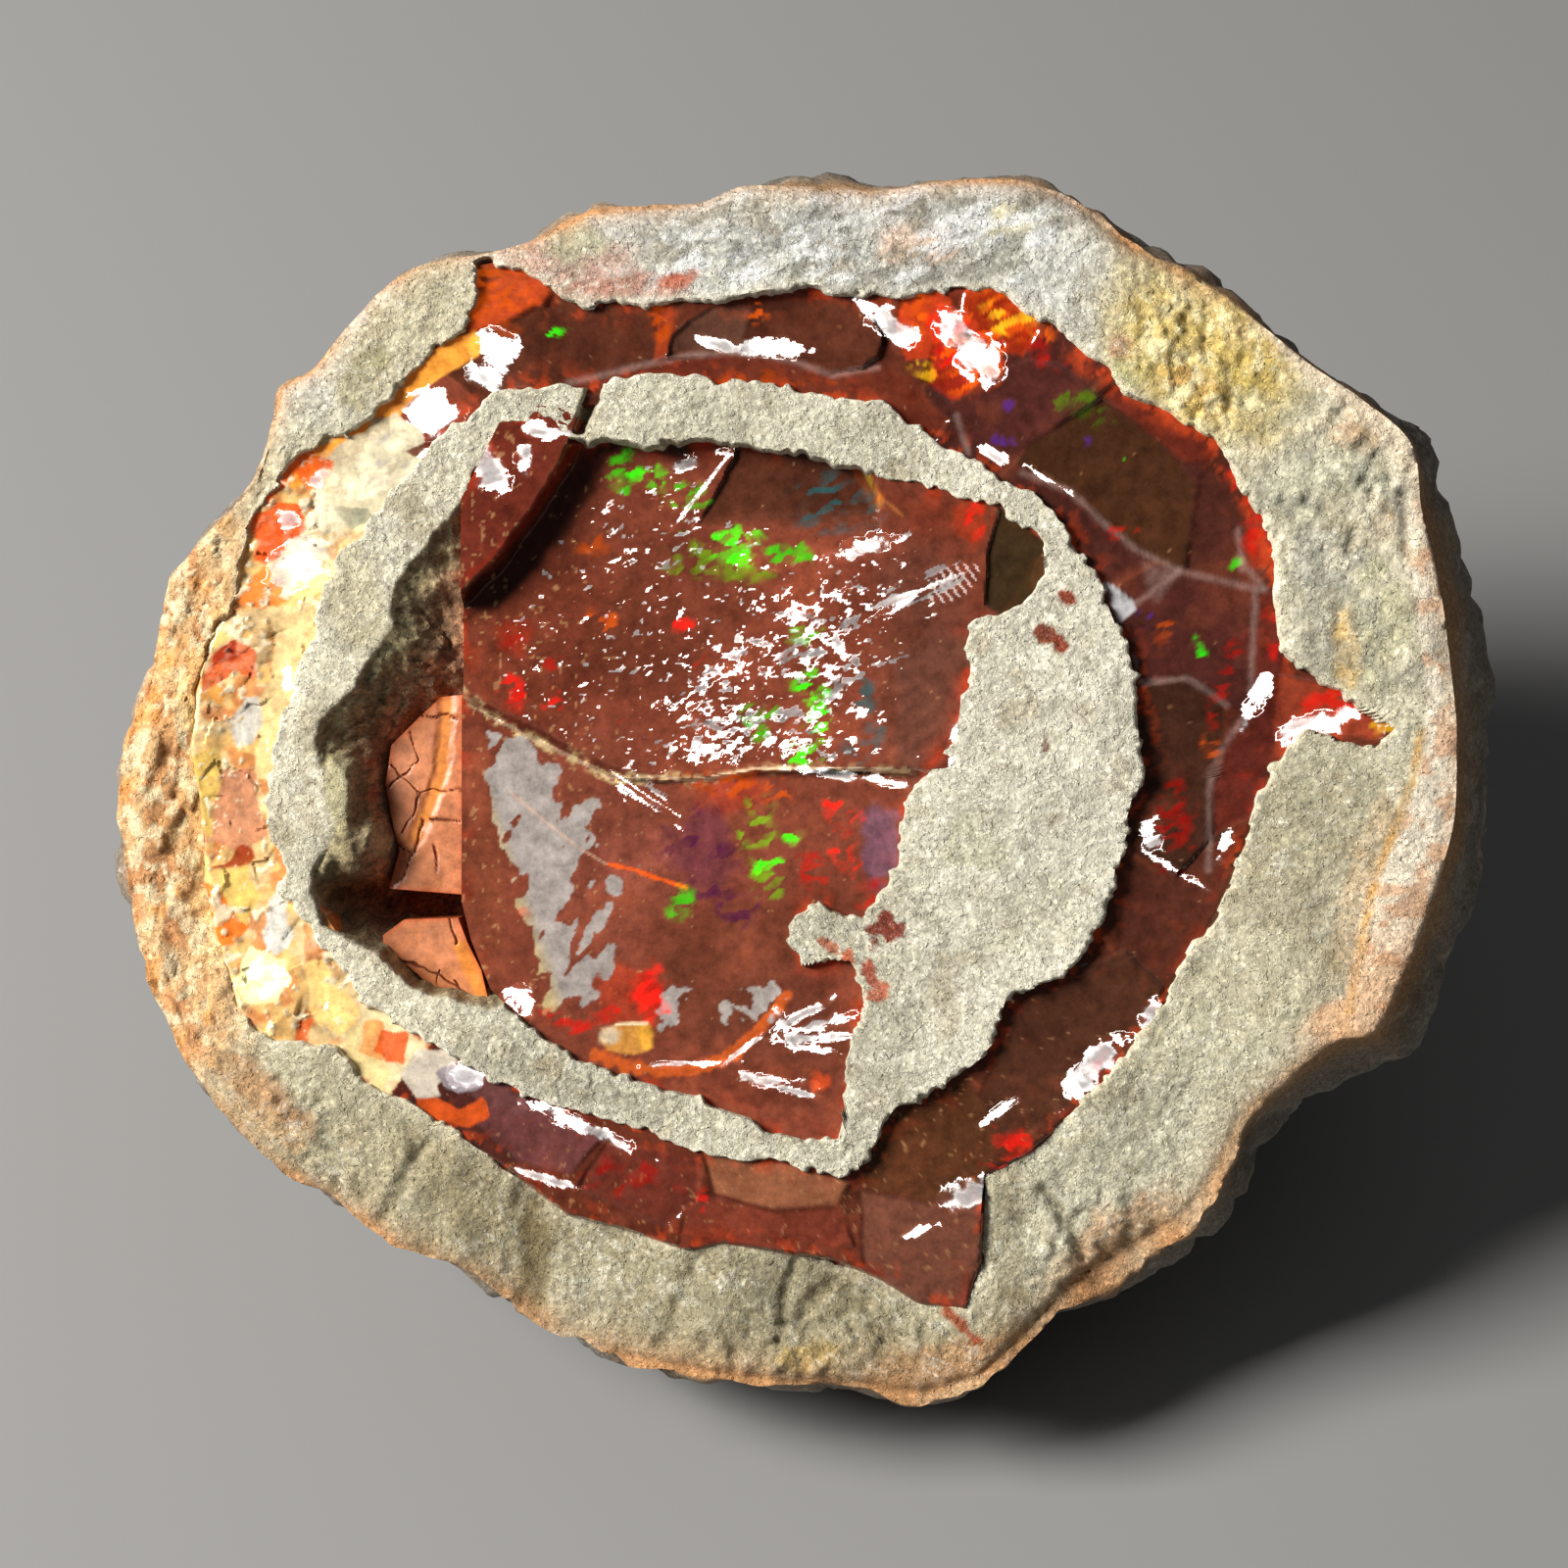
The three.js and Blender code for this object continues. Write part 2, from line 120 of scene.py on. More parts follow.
# The pit left of the core. Its right side runs on under the core's edge.
PIT = [
    (-12.5, 14.6), (-17.5, 14.6), (-18.2, 13.8), (-19.9, 11.7), (-21, 10.2), (-21.2, 8.2), (-22, 6.8),
    (-23.1, 5), (-24.8, 3.4), (-25.1, 2.3), (-24.6, 0.6), (-24.4, -1.2), (-24.1, -2.6), (-25.1, -4.2),
    (-25.1, -5.3), (-24.6, -7.2), (-23.2, -8.1), (-21.75, -8.75), (-20, -10.5), (-17, -11.5), (-15.5, -11.5),
    (-12, -8), (-12, 8),
]

# The core's levels: a splinter at the upper left, a wide scooped plane and a flatter one below a step.
STEP_LINE = [
    (-18.8, 4.9), (-17.5, 4.3), (-14.3, 2.7), (-11.5, 1.3), (-9.5, 0.4), (-7.3, 0.2), (-4.5, 0.4),
    (-2.5, 0.7), (0.7, 0.7), (5.4, 0.7), (15, 0.5),
]
SPLINTER_TOP = 0.0
SCOOP_EDGE = [(15, 21), (-10.6, 21), (-11.3, 18.6), (-12.2, 16.6), (-13.6, 14.2), (-15.6, 11.4), (-18.8, 8.4)]

# The camera and the lights: places in face coordinates, the lamps' sides in metres and their powers in watts.
CAMERA_AT = np.array([-1.0, 0.0, 188.9])
LENS, SENSOR_WIDTH, NEAREST_SEEN = 85.0, 36.0, 0.01
KEY_AT = np.array([-480.0, 208.5, 351.0])
KEY_SIZE, KEY_POWER, KEY_COLOUR = 0.2325, 8.1, (1, 0.985, 0.95)
FILL_AT = np.array([190.0, 340.0, 300.0])
FILL_SIZE, FILL_POWER = 0.5, 0.16
SKY_COLOUR, SKY_STRENGTH = (0.78, 0.8, 0.84, 1), 0.05

# The floor, in metres: half its side, and its level just under the stone.
FLOOR_HALF, FLOOR_LEVEL = 2.0, -0.00002
PAPER_COLOUR, PAPER_ROUGHNESS = (0.26, 0.256, 0.252, 1), 0.9


def to_part(points):
    """Face coordinates in millimetres as points in the part's frame, in metres."""
    sine, cosine = math.sin(FACE_ELEVATION), math.cos(FACE_ELEVATION)
    u, v, w = np.moveaxis(np.asarray(points, float), -1, 0)
    tipped = np.stack([u, v * sine - w * cosine, v * cosine + w * sine], axis=-1)
    return (tipped + FACE_CENTRE) / PER_METRE


def turned(ways):
    """Directions in face coordinates as directions in the part's frame."""
    return (to_part(ways) - to_part(np.zeros(3))) * PER_METRE


def smoothstep(value, low, high):
    share = np.clip((value - low) / (high - low), 0, 1)
    return share * share * (3 - 2 * share)


def mix(first, second, share):
    return first + (second - first) * share


def along_and_across(places, degrees):
    """How far each place lies along a direction, and how far to its left."""
    cosine, sine = math.cos(math.radians(degrees)), math.sin(math.radians(degrees))
    return places[:, 0] * cosine + places[:, 1] * sine, places[:, 1] * cosine - places[:, 0] * sine


def stretched(points, turn, stretch):
    """Places measured along and across a direction, with the way along it made shorter."""
    along, across = along_and_across(points, turn)
    return np.column_stack([along / stretch, across])


# Repeatable noise

def scatter(cells, seed):
    """A number from 0 to 1 for each whole-number point, the same in every run."""
    total = seed * 974711
    for axis, factor in zip(np.moveaxis(cells, -1, 0), (374761393, 668265263, 1103515245)):
        total = total + axis.astype(np.int64) * factor
    total &= 0xFFFFFFFF
    total = ((total ^ (total >> 13)) * 1274126177) & 0xFFFFFFFF
    return ((total ^ (total >> 16)) & 0xFFFFFF) / 0xFFFFFF


def noise(points, size, seed):
    """Smooth noise from -1 to 1 with bumps about size across, over points with 2 or 3 coordinates."""
    place = points / size
    corner = np.floor(place)
    share = place - corner
    share = share * share * (3 - 2 * share)
    total = 0
    for shift in itertools.product((0, 1), repeat=points.shape[-1]):
        weight = np.prod(np.where(shift, share, 1 - share), axis=-1)
        total = total + weight * scatter(corner + shift, seed)
    return 2 * total - 1


def layered(points, size, layers, seed):
    """Noise with finer and finer layers on it, mostly from -1 to 1."""
    return sum(noise(points, size / 2**i, seed + 31 * i) / 2**i for i in range(layers)) / 1.6


def blotches(points, size, layers, seed, low, high):
    """1 where layered noise is high and 0 where it is low."""
    return smoothstep(layered(points, size, layers, seed), low, high)


def drift(points, size, layers, seed):
    """Two layered noises side by side, for uneven shifts and slopes."""
    return np.column_stack([layered(points, size, layers, seed), layered(points, size, layers, seed + 1)])


def cracked(points, size, seed):
    """Cells of broken stuff: how far into its cell each point is, the cell's own number, and its tilt."""
    place = points / size
    corner = np.floor(place)
    count = points.shape[-1]
    nearest = np.full(points.shape[:-1], 9.0)
    second = nearest.copy()
    own = np.zeros_like(nearest)
    offset = np.zeros_like(place)
    for shift in itertools.product((-1, 0, 1), repeat=count):
        cell = corner + shift
        jitter = np.stack([scatter(cell, seed + 7 * i + 1) for i in range(count)], axis=-1)
        apart = place - cell - jitter
        far = np.sqrt((apart**2).sum(-1))
        closer = far < nearest
        second = np.where(closer, nearest, np.minimum(second, far))
        nearest = np.where(closer, far, nearest)
        own = np.where(closer, scatter(cell, seed + 99), own)
        offset = np.where(closer[..., None], apart, offset)
    return (second - nearest) * size, own, offset * size


def chipped(points, size, tilt, step, seed):
    """Heights of flat chips, each with its own tilt and level."""
    _, own, offset = cracked(points, size, seed)
    turn = own * 2 * math.pi * 7
    lean = offset[..., 0] * np.cos(turn) + offset[..., 1] * np.sin(turn)
    return tilt * lean + step * (((own * 13) % 1) - 0.5)


# Outlines

def smooth_outline(points, count):
    """Evenly spaced points on a smooth closed curve through hand-set ones."""
    p = np.asarray(points, float)
    fine = np.linspace(0, 1, 12, endpoint=False)[:, None]
    pieces = []
    for i in range(len(p)):
        a, b, c, d = (p[(i + k) % len(p)] for k in (-1, 0, 1, 2))
        pieces.append(0.5 * (2 * b + (c - a) * fine + (2 * a - 5 * b + 4 * c - d) * fine**2
                             + (3 * b - a - 3 * c + d) * fine**3))
    return spaced(np.vstack(pieces), count)


def spaced(line, count):
    """Evenly spaced points along a closed line."""
    closed = np.vstack([line, line[:1]])
    run = np.concatenate([[0], np.cumsum(np.hypot(*np.diff(closed, axis=0).T))])
    even = np.linspace(0, run[-1], count, endpoint=False)
    return np.column_stack([np.interp(even, run, closed[:, k]) for k in (0, 1)])


def line_distance(points, line, closed=False):
    """How far each point is from a line of points, and how far along it the nearest spot lies."""
    ends = list(line[1:]) + ([line[0]] if closed else [])
    least = np.full(points.shape[:-1], 1e9)
    along = np.zeros_like(least)
    run = 0.0
    for start, end in zip(line, ends):
        way = np.subtract(end, start)
        length = math.hypot(*way)
        apart = points[..., :2] - np.asarray(start, float)
        share = np.clip((apart @ way) / length**2, 0, 1)
        far = np.hypot(apart[..., 0] - share * way[0], apart[..., 1] - share * way[1])
        along = np.where(far < least, run + share * length, along)
        least = np.minimum(least, far)
        run += length
    return least, along


def inside_by(points, outline):
    """How far each point lies inside a closed outline, and below zero outside it."""
    u, v = points[..., 0], points[..., 1]
    inside = np.zeros(u.shape, bool)
    for (au, av), (bu, bv) in zip(outline, list(outline[1:]) + [outline[0]]):
        if av != bv:
            crosses = (v >= min(av, bv)) & (v < max(av, bv))
            inside ^= crosses & (u < au + (v - av) * (bu - au) / (bv - av))
    far, _ = line_distance(points, outline, closed=True)
    return np.where(inside, far, -far)


def polar(outline, centre):
    """The bearings and radii of an outline's points around a centre, in order of bearing."""
    dense = smooth_outline(outline, 3000) - centre
    bearing = np.arctan2(dense[:, 1], dense[:, 0]) % (2 * math.pi)
    order = bearing.argsort()
    return bearing[order], np.hypot(*dense[order].T)


def reach(outline, centre, angles, pick):
    """The least or greatest radius of an outline near each direction from a centre, without sudden jumps."""
    window = 0.03
    bearing, radius = polar(outline, centre)
    apart = np.abs((bearing[None] - angles[:, None] + math.pi) % (2 * math.pi) - math.pi)
    worst = 1e9 if pick is np.min else -1e9
    found = pick(np.where(apart < window, radius[None], worst), axis=1)
    wide = int(window / 2 / (angles[1] - angles[0]))
    weights = np.ones(2 * wide + 1) / (2 * wide + 1)
    around = np.concatenate([found[-wide:], found, found[:wide]])
    return np.convolve(around, weights, mode="valid")


def ways_round(count):
    """Evenly spaced angles, and the directions that they stand for."""
    angles = np.linspace(0, 2 * math.pi, count, endpoint=False)
    return angles, np.column_stack([np.cos(angles), np.sin(angles)])


def edge_loop(outline, centre, count, pick, margin):
    """A loop of points round a centre, a margin outside an outline."""
    angles, way = ways_round(count)
    return centre + way * (reach(outline, centre, angles, pick) + margin)[:, None]


# Colours

def tint(red, green, blue):
    """A screen colour as the linear light that the shaders use."""
    c = np.array([red, green, blue]) / 255
    return np.where(c <= 0.04045, c / 12.92, ((c + 0.055) / 1.055) ** 2.4)


# Looks that several features share, and the pure colours that play in the opal.
CREAM = tint(236, 214, 164)
BROWN = tint(92, 60, 40)
CHOCOLATE = tint(86, 44, 30)
DARK_OPAL = tint(64, 36, 25)
OLIVE_OPAL = tint(72, 42, 25)
RED_BROWN = tint(98, 46, 31)
WARM_OPAL = tint(112, 54, 38)
PURPLE_BROWN = tint(76, 38, 31)
TAN_OPAL = tint(150, 92, 64)
BRIGHT_RED = tint(214, 44, 20)
HOT_ORANGE = tint(235, 92, 24)
BLACK = tint(0, 0, 0)
GREEN = tint(20, 255, 10)
LIME = tint(130, 190, 20)
RED = tint(255, 24, 16)
FIRE = tint(255, 100, 10)
TEAL = tint(16, 110, 112)
VIOLET = tint(96, 44, 150)
PLUM = tint(120, 36, 96)
YELLOW = tint(255, 190, 30)
PAINTED_DULL_GLINT_GREY = tint(70, 62, 60)  # the opal beside a glint, where the mirror is dull, painted grey as its dim reflection

# How rough the hidden sides are, and how rough a dull glint is.
HIDDEN_FINISH = 0.8
DULL_FINISH = 0.42


class Paint:
    """The colour, glow and finish of every point of a surface, painted feature by feature, and the way it
    faces where it is broken into chips too small for the mesh."""

    def __init__(self, count, colour, finish):
        self.colour = np.tile(colour, (count, 1))
        self.glow = np.zeros((count, 3))
        self.finish = np.full(count, float(finish))
        self.facing = np.zeros((count, 3))

    def cover(self, share, colour=None, glow=None, finish=None):
        if colour is not None:
            self.colour = mix(self.colour, colour, share[:, None])
        if glow is not None:
            self.glow = mix(self.glow, glow, share[:, None])
        if finish is not None:
            self.finish = mix(self.finish, finish, share)

    def shade(self, factor):
        self.colour = self.colour * factor[:, None]

    def face(self, share, slope):
        """Turns a share of the surface to a slope of its own."""
        way = unit(np.column_stack([-slope, np.ones(len(slope))]))
        self.facing = mix(self.facing, way, share[:, None])


def only_near(points, low, high, compute):
    """The values of a feature that is 0 outside a box."""
    values = np.zeros(len(points))
    near = np.all((points >= low) & (points <= high), axis=1)
    if near.any():
        values[near] = compute(points[near])
    return values


def spot(points, at, half, turn=0, ragged=0.35, soft=0.35, seed=1):
    """1 inside an uneven oval patch and 0 outside it."""
    at = np.asarray(at, float)

    def share(near):
        along, across = along_and_across(near - at, turn)
        uneven = ragged * layered(near, max(0.5, 0.9 * min(half)), 3, seed)
        edge = np.hypot(along / half[0], across / half[1]) + uneven
        return 1 - smoothstep(edge, 1 - soft, 1 + soft)

    wide = max(half) * (1 + soft + 1.2 * ragged)
    return only_near(points, at - wide, at + wide, share)


def area(points, outline, ragged=0.1, soft=0.08, seed=1):
    """1 inside an outline and 0 outside it."""
    def share(near):
        into = inside_by(near, outline) + ragged * layered(near, 1.1, 2, seed)
        return smoothstep(into, -soft, soft)

    wide = 1.2 * ragged + soft
    return only_near(points, np.min(outline, axis=0) - wide, np.max(outline, axis=0) + wide, share)


def stroke(points, line, width, soft=0.4, ragged=0.3, seed=1):
    """1 on a band along a line and 0 away from it."""
    def share(near):
        far, _ = line_distance(near, line)
        far = far + ragged * width * layered(near, max(0.4, width), 2, seed)
        return 1 - smoothstep(far, width * (1 - soft), width * (1 + soft))

    wide = width * (1 + soft + 1.2 * ragged)
    return only_near(points, np.min(line, axis=0) - wide, np.max(line, axis=0) + wide, share)


def specks(points, size, amount, seed):
    """1 on small grains of uneven size, more of them where the amount is high, and 0 between them."""
    return smoothstep(layered(points, size, 2, seed) + 0.5 * amount, 0.72, 0.8)


def unit(ways):
    return ways / np.linalg.norm(ways, axis=1)[:, None]


def mirror_slope(places):
    """The slope of a surface at each place on the face that mirrors the key light to the camera."""
    flat = np.column_stack([places, np.zeros(len(places))])
    to_key, to_eye = KEY_AT - flat, CAMERA_AT - flat
    half_way = unit(to_key) + unit(to_eye)
    return -half_way[:, :2] / half_way[:, 2:]


def wobble(own, amount):
    """A small slope of its own for each number."""
    turn = own * 6.283 * 37
    return amount * ((own * 71) % 1)[:, None] * np.column_stack([np.cos(turn), np.sin(turn)])


def shine(points, paint, at, half, turn, seed, grain):
    """A polished patch that mirrors the key light, more and more unevenly towards its edge."""
    share = spot(points, at, half, turn, ragged=0.7, soft=0.6, seed=seed)
    near = share > 0
    if not near.any():
        return
    part = points[near]
    along = stretched(part, turn, 2.6)
    wander = drift(along, 0.6 * grain, 3, seed + 1)
    whole = np.zeros((len(points), 2))
    whole[near] = mirror_slope(part) + wander * mix(0.6, 0.17, smoothstep(share[near], 0, 0.9))[:, None]
    paint.face(smoothstep(share, 0, 0.05), whole)
    dull = blotches(along, 0.8 * grain, 3, seed + 3, -0.1, 0.3) * share[near]
    paint.finish[near] = mix(paint.finish[near], DULL_FINISH, dull)
    # Where the mirror is dull, the colour is painted grey, as the dim reflection of the glint.
    paint.colour[near] = mix(paint.colour[near], PAINTED_DULL_GLINT_GREY, 0.8 * dull[:, None])


def flecks(points, paint, density, turn, size, stretch, seed):
    """Small torn chips that mirror the key light, some dully, and more of them where the density is high."""
    near = density > 0.01
    part = stretched(points[near], turn, stretch)
    high = layered(part + 0.3 * size * noise(part, 0.8 * size, seed + 4)[:, None], size, 3, seed)
    share = np.zeros(len(points))
    share[near] = smoothstep(high, 0.6 - 1.2 * density[near], 0.65 - 1.2 * density[near])
    whole = np.zeros((len(points), 2))
    whole[near] = mirror_slope(points[near]) + 0.3 * drift(part, 1.5 * size, 2, seed + 1)
    paint.face(share, whole)
    dull = blotches(part, 2 * size, 2, seed + 3, -0.1, 0.5)
    paint.finish[near] = mix(paint.finish[near], 0.06 + 0.45 * dull, share[near])
    # Where a chip's mirror is dull, its colour is painted grey, as its dim reflection.
    paint.colour[near] = mix(paint.colour[near], PAINTED_DULL_GLINT_GREY, (0.8 * dull * share[near])[:, None])


def play_of_colour(points, paint, at, half, look, strength, turn, seed, grain):
    """A patch of pure spectral colour, painted as a dark tint and a glow, broken into brush-like flakes that
    differ in brightness.
    """
    within = spot(points, at, half, turn, ragged=0.9, soft=0.4, seed=seed)
    near = within > 0
    if not near.any():
        return
    part = points[near]
    brushed = stretched(part, 20, 2.2)
    _, own, _ = cracked(brushed + 0.1 * noise(part, 0.5, seed)[:, None], grain * 0.7, seed + 17)
    flake = smoothstep(own + 0.25 * noise(part, 1.2, seed + 5), 0.3, 0.95)
    share = within[near] * flake
    paint.colour[near] = mix(paint.colour[near], look * 0.3, share[:, None] * 0.7)
    paint.glow[near] = paint.glow[near] + (share * strength)[:, None] * look


def lay_shines(points, paint, shines, seed):
    for number, (at, half, turn, grain) in enumerate(shines):
        shine(points, paint, at, half, turn, seed + 5 * number, grain)


def lay_fire(points, paint, fire, seed, grain):
    for number, (look, at, half, strength, turn) in enumerate(fire):
        play_of_colour(points, paint, at, half, look, strength, turn, seed + number, grain)


def lay_blotches(points, paint, listed, where=1.0, seed=0):
    """Blotches from a list: the noise's size, layers and seed, its limits, the strength and the colour."""
    for size, layers, own_seed, low, high, amount, colour in listed:
        share = blotches(points, size, layers, seed + own_seed, low, high)
        paint.cover(where * share * amount, tint(*colour))


def feature(colour, at, half, turn, amount, glow=0.0, finish=None, ragged=0.5, soft=0.3):
    """A painted patch, for paint_features."""
    return {"look": tint(*colour), "at": at, "half": half, "turn": turn, "amount": amount, "glow": glow,
            "finish": finish, "ragged": ragged, "soft": soft}


def paint_features(points, paint, features, seed):
    for number, each in enumerate(features):
        share = spot(points, each["at"], each["half"], each["turn"], each["ragged"], each["soft"],
                     seed + number)
        glow = each["look"] * each["glow"] if each["glow"] else None
        paint.cover(share * each["amount"], each["look"], glow=glow, finish=each["finish"])


# Meshes

class Shell:
    """A closed mesh from loops of points, each joined to the next, with a point closing either end."""

    def __init__(self):
        self.points, self.faces, self.last, self.count = [], [], None, 0

    def pole(self, point):
        start = self.count
        self.points.append(np.asarray(point, float)[None])
        self.count += 1
        if self.last is not None:
            first, size = self.last
            for i in range(size):
                self.faces.append((first + i, start, first + (i + 1) % size))
        self.last = (start, 1)

    def loop(self, points):
        start, size = self.count, len(points)
        self.points.append(points)
        self.count += size
        if self.last is not None:
            self.join(*self.last, start, size)
        self.last = (start, size)

    def join(self, inner, inner_size, outer, outer_size):
        if inner_size == 1:
            for i in range(outer_size):
                self.faces.append((inner, outer + i, outer + (i + 1) % outer_size))
        elif inner_size == outer_size:
            for i in range(outer_size):
                after = (i + 1) % outer_size
                self.faces.append((inner + i, outer + i, outer + after, inner + after))
        elif inner_size == 2 * outer_size:
            for i in range(outer_size):
                after = (i + 1) % outer_size
                a, b, c = (inner + (2 * i + k) % inner_size for k in range(3))
                self.faces += [(a, outer + i, b), (b, outer + i, outer + after), (b, outer + after, c)]
        else:
            for i in range(inner_size):
                after = (i + 1) % inner_size
                a, b, c = (outer + (2 * i + k) % outer_size for k in range(3))
                self.faces += [(inner + i, a, b), (inner + i, b, inner + after), (inner + after, b, c)]


def add_mesh(name, points, faces, paint, material, sharp_angle):
    """An object from face coordinates, with its paint as vertex attributes."""
    mesh = bpy.data.meshes.new(name)
    mesh.from_pydata(to_part(points), [], faces)
    for label, values in (("colour", paint.colour), ("glow", paint.glow)):
        layer = mesh.attributes.new(label, "FLOAT_COLOR", "POINT")
        solid = np.column_stack([np.clip(values, 0, None), np.ones(len(values))])
        layer.data.foreach_set("color", solid.astype(np.float32).ravel())
    layer = mesh.attributes.new("finish", "FLOAT", "POINT")
    layer.data.foreach_set("value", paint.finish.astype(np.float32))
    layer = mesh.attributes.new("facing", "FLOAT_VECTOR", "POINT")
    layer.data.foreach_set("vector", turned(paint.facing).astype(np.float32).ravel())
    mesh.shade_smooth()
    mesh.set_sharp_from_angle(angle=math.radians(sharp_angle))
    mesh.materials.append(material)
    piece = bpy.data.objects.new(name, mesh)
    bpy.context.scene.collection.objects.link(piece)
    return piece


def keep_piece(piece, node):
    """Puts a piece in its CAD node's place."""
    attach(piece, "root")
    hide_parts(node)


def fullness(share):
    """How wide a bowl still is at a share of its depth."""
    return (1 - share**BACK_FULLNESS) ** (1 / BACK_FULLNESS)


def bowl_loops(loop, depth):
    """Loops that narrow from an edge down to a bowl's bottom, each with half the points of the one above."""
    loops = []
    width = 1.0
    for share in (0.35, 0.7, 0.92):
        loop = loop[::2] if len(loop) % 2 == 0 and len(loop) > 200 else loop
        flat = BOWL_CENTRE + (loop[:, :2] - BOWL_CENTRE) * fullness(share) / width
        loop = np.column_stack([flat, np.full(len(flat), -share * depth)])
        width = fullness(share)
        loops.append(loop)
    return loops


def annulus(inner, outer, rows):
    """A grid of points between two loops of equally many points."""
    share = np.linspace(0, 1, rows)[:, None, None]
    return mix(inner[None], outer[None], share)


def broken_surface(grid, surface):
    """The rows of a broken surface over a grid of places, with its paint."""
    heights, paint = surface(grid.reshape(-1, 2))
    return np.column_stack([grid.reshape(-1, 2), heights]).reshape(*grid.shape[:2], 3), paint


def start_piece(top, depth):
    """A shell with the bowl under a surface and the surface itself, and how many points the bowl has."""
    shell = Shell()
    shell.pole((*BOWL_CENTRE, -depth))
    for loop in reversed(bowl_loops(top[0], depth)):
        shell.loop(loop)
    hidden = shell.count
    for row in top:
        shell.loop(row)
    return shell, hidden


def ring_piece(name, grid, surface, inner_depth, outer_depth, material, sharp_angle):
    """A closed piece: a broken surface between two loops, on the space between two nested bowls."""
    top, paint = broken_surface(grid, surface)
    shell, hidden = start_piece(top, inner_depth)
    for loop in bowl_loops(top[-1], outer_depth):
        shell.loop(loop)
    shell.pole((*BOWL_CENTRE, -outer_depth))
    whole = spread(paint, hidden, shell.count)
    return add_mesh(name, np.vstack(shell.points), shell.faces, whole, material, sharp_angle)


def spread(paint, before, total):
    """The paint of a whole piece, from that of its surface and its place among the piece's points."""
    after = before + len(paint.finish)
    whole = Paint(total, paint.colour[0], HIDDEN_FINISH)
    whole.colour[after:] = paint.colour[-1]
    whole.colour[before:after] = paint.colour
    whole.glow[before:after] = paint.glow
    whole.finish[before:after] = paint.finish
    whole.facing[before:after] = paint.facing
    return whole


# Where the pieces meet

def ragged_edge(points, outline, seed):
    """How far inside an outline each point lies, with the outline made crumbly."""
    return (inside_by(points, outline) + 0.4 * layered(points, 1.9, 1, seed)
            + 0.28 * layered(points, 0.9, 2, seed + 3) + 0.16 * noise(points, 0.4, seed + 5))


def drop(over, width=0.7, depth=8.0):
    """How far a surface has fallen away once it is past its edge by some distance."""
    return depth * smoothstep(over, 0, width)


# The outer rock

def outer_rock_height(points, rim_distance):
    """The outer rock's wide forms: its swell, worn edge, flaked bottom, sunk panel and low left side."""
    u, v = points[:, 0], points[:, 1]
    swell = 0.22 * np.sin(u / 5.1 + 1.3) * np.cos(v / 4.3 - 0.6)
    ripple = 0.1 * np.sin(u / 2.3 + v / 3.1)
    right = smoothstep(u, 14, 24)
    worn = 0.6 * (1 - 0.75 * right) * np.exp(-np.maximum(rim_distance, 0) / 0.4)
    flakes = smoothstep(-v, 13, 24) * (0.9 + 0.5 * np.abs(np.sin(u / 4.4 + 0.9)))
    panel = 0.4 * smoothstep(u, 12, 18) * smoothstep(-v, -3.5, -1)
    left = 1.0 * smoothstep(-u, 26, 32) * smoothstep(17 - np.abs(v), 0, 9)
    facing = 0.05 * np.clip(u - 20, 0, 14)
    return 0.15 + swell + ripple + facing - worn - flakes - panel - left


def rock_ridges(points, seed):
    """1 on the thin winding ridges of the broken rock, falling to 0 beside them."""
    bent = points + 0.35 * drift(points, 0.7, 2, seed + 41)
    return 1 - smoothstep(np.abs(layered(bent, 1.0, 3, seed + 43)), 0.0, 0.13)


def rock_relief(points, seed):
    """The rough surface of freshly broken rock: knobs, crumbs, ridges and grain."""
    return (0.22 * layered(points, 3.0, 3, seed) + chipped(points, 0.6, 0.09, 0.03, seed + 1)
            + 0.035 * layered(points, 0.4, 2, seed + 3) + 0.035 * rock_ridges(points, seed))


# Gaps between the rock's broken facets along the bottom, painted dark as the shade in them: their lines
# and half widths.
ROCK_GAPS = [
    ([(-13.8, -21.3), (-13.7, -24), (-14.2, -26.6)], 0.8),
    ([(-5.6, -24.6), (-6.2, -26.4), (-7.2, -28.8)], 0.4),
    ([(-0.4, -24.6), (-0.9, -26), (-1.3, -28.6)], 0.28), ([(0.4, -26.4), (1.8, -25.7), (3.2, -26.6)], 0.35),
    ([(-19.5, -18.6), (-20.6, -20.4), (-21.6, -22.2)], 0.3),
    ([(12.4, -20.8), (13.6, -22.4), (14.4, -24.4)], 0.3),
    ([(30.5, 14.6), (30.75, 13.2), (30.85, 11.8)], 0.28), ([(19.1, 24.0), (20.0, 23.4), (20.8, 23.1)], 0.35),
    ([(-27.6, 15.6), (-28.6, 14.2), (-29.6, 12.6)], 0.35),
]

# Where the rock is crumbly: where, how wide, which way it lies and how high its crumbs stand.
ROCK_CRUMBLES = [
    ((19.8, 21.8), (4.6, 3.0), -40, 0.3), ((28.4, 17.4), (3.4, 1.6), -47, 0.22),
    ((26.8, 13.6), (2.6, 2.6), 0, 0.2), ((27.6, 6.6), (1.0, 2.6), 0, 0.2),
    ((-28.6, 16), (2.6, 1.4), 40, 0.25), ((15, -23), (4, 2), 35, 0.2), ((1, -28.6), (8, 1.6), 4, 0.22),
    ((-25, -17.6), (4, 1.6), -45, 0.22),
]

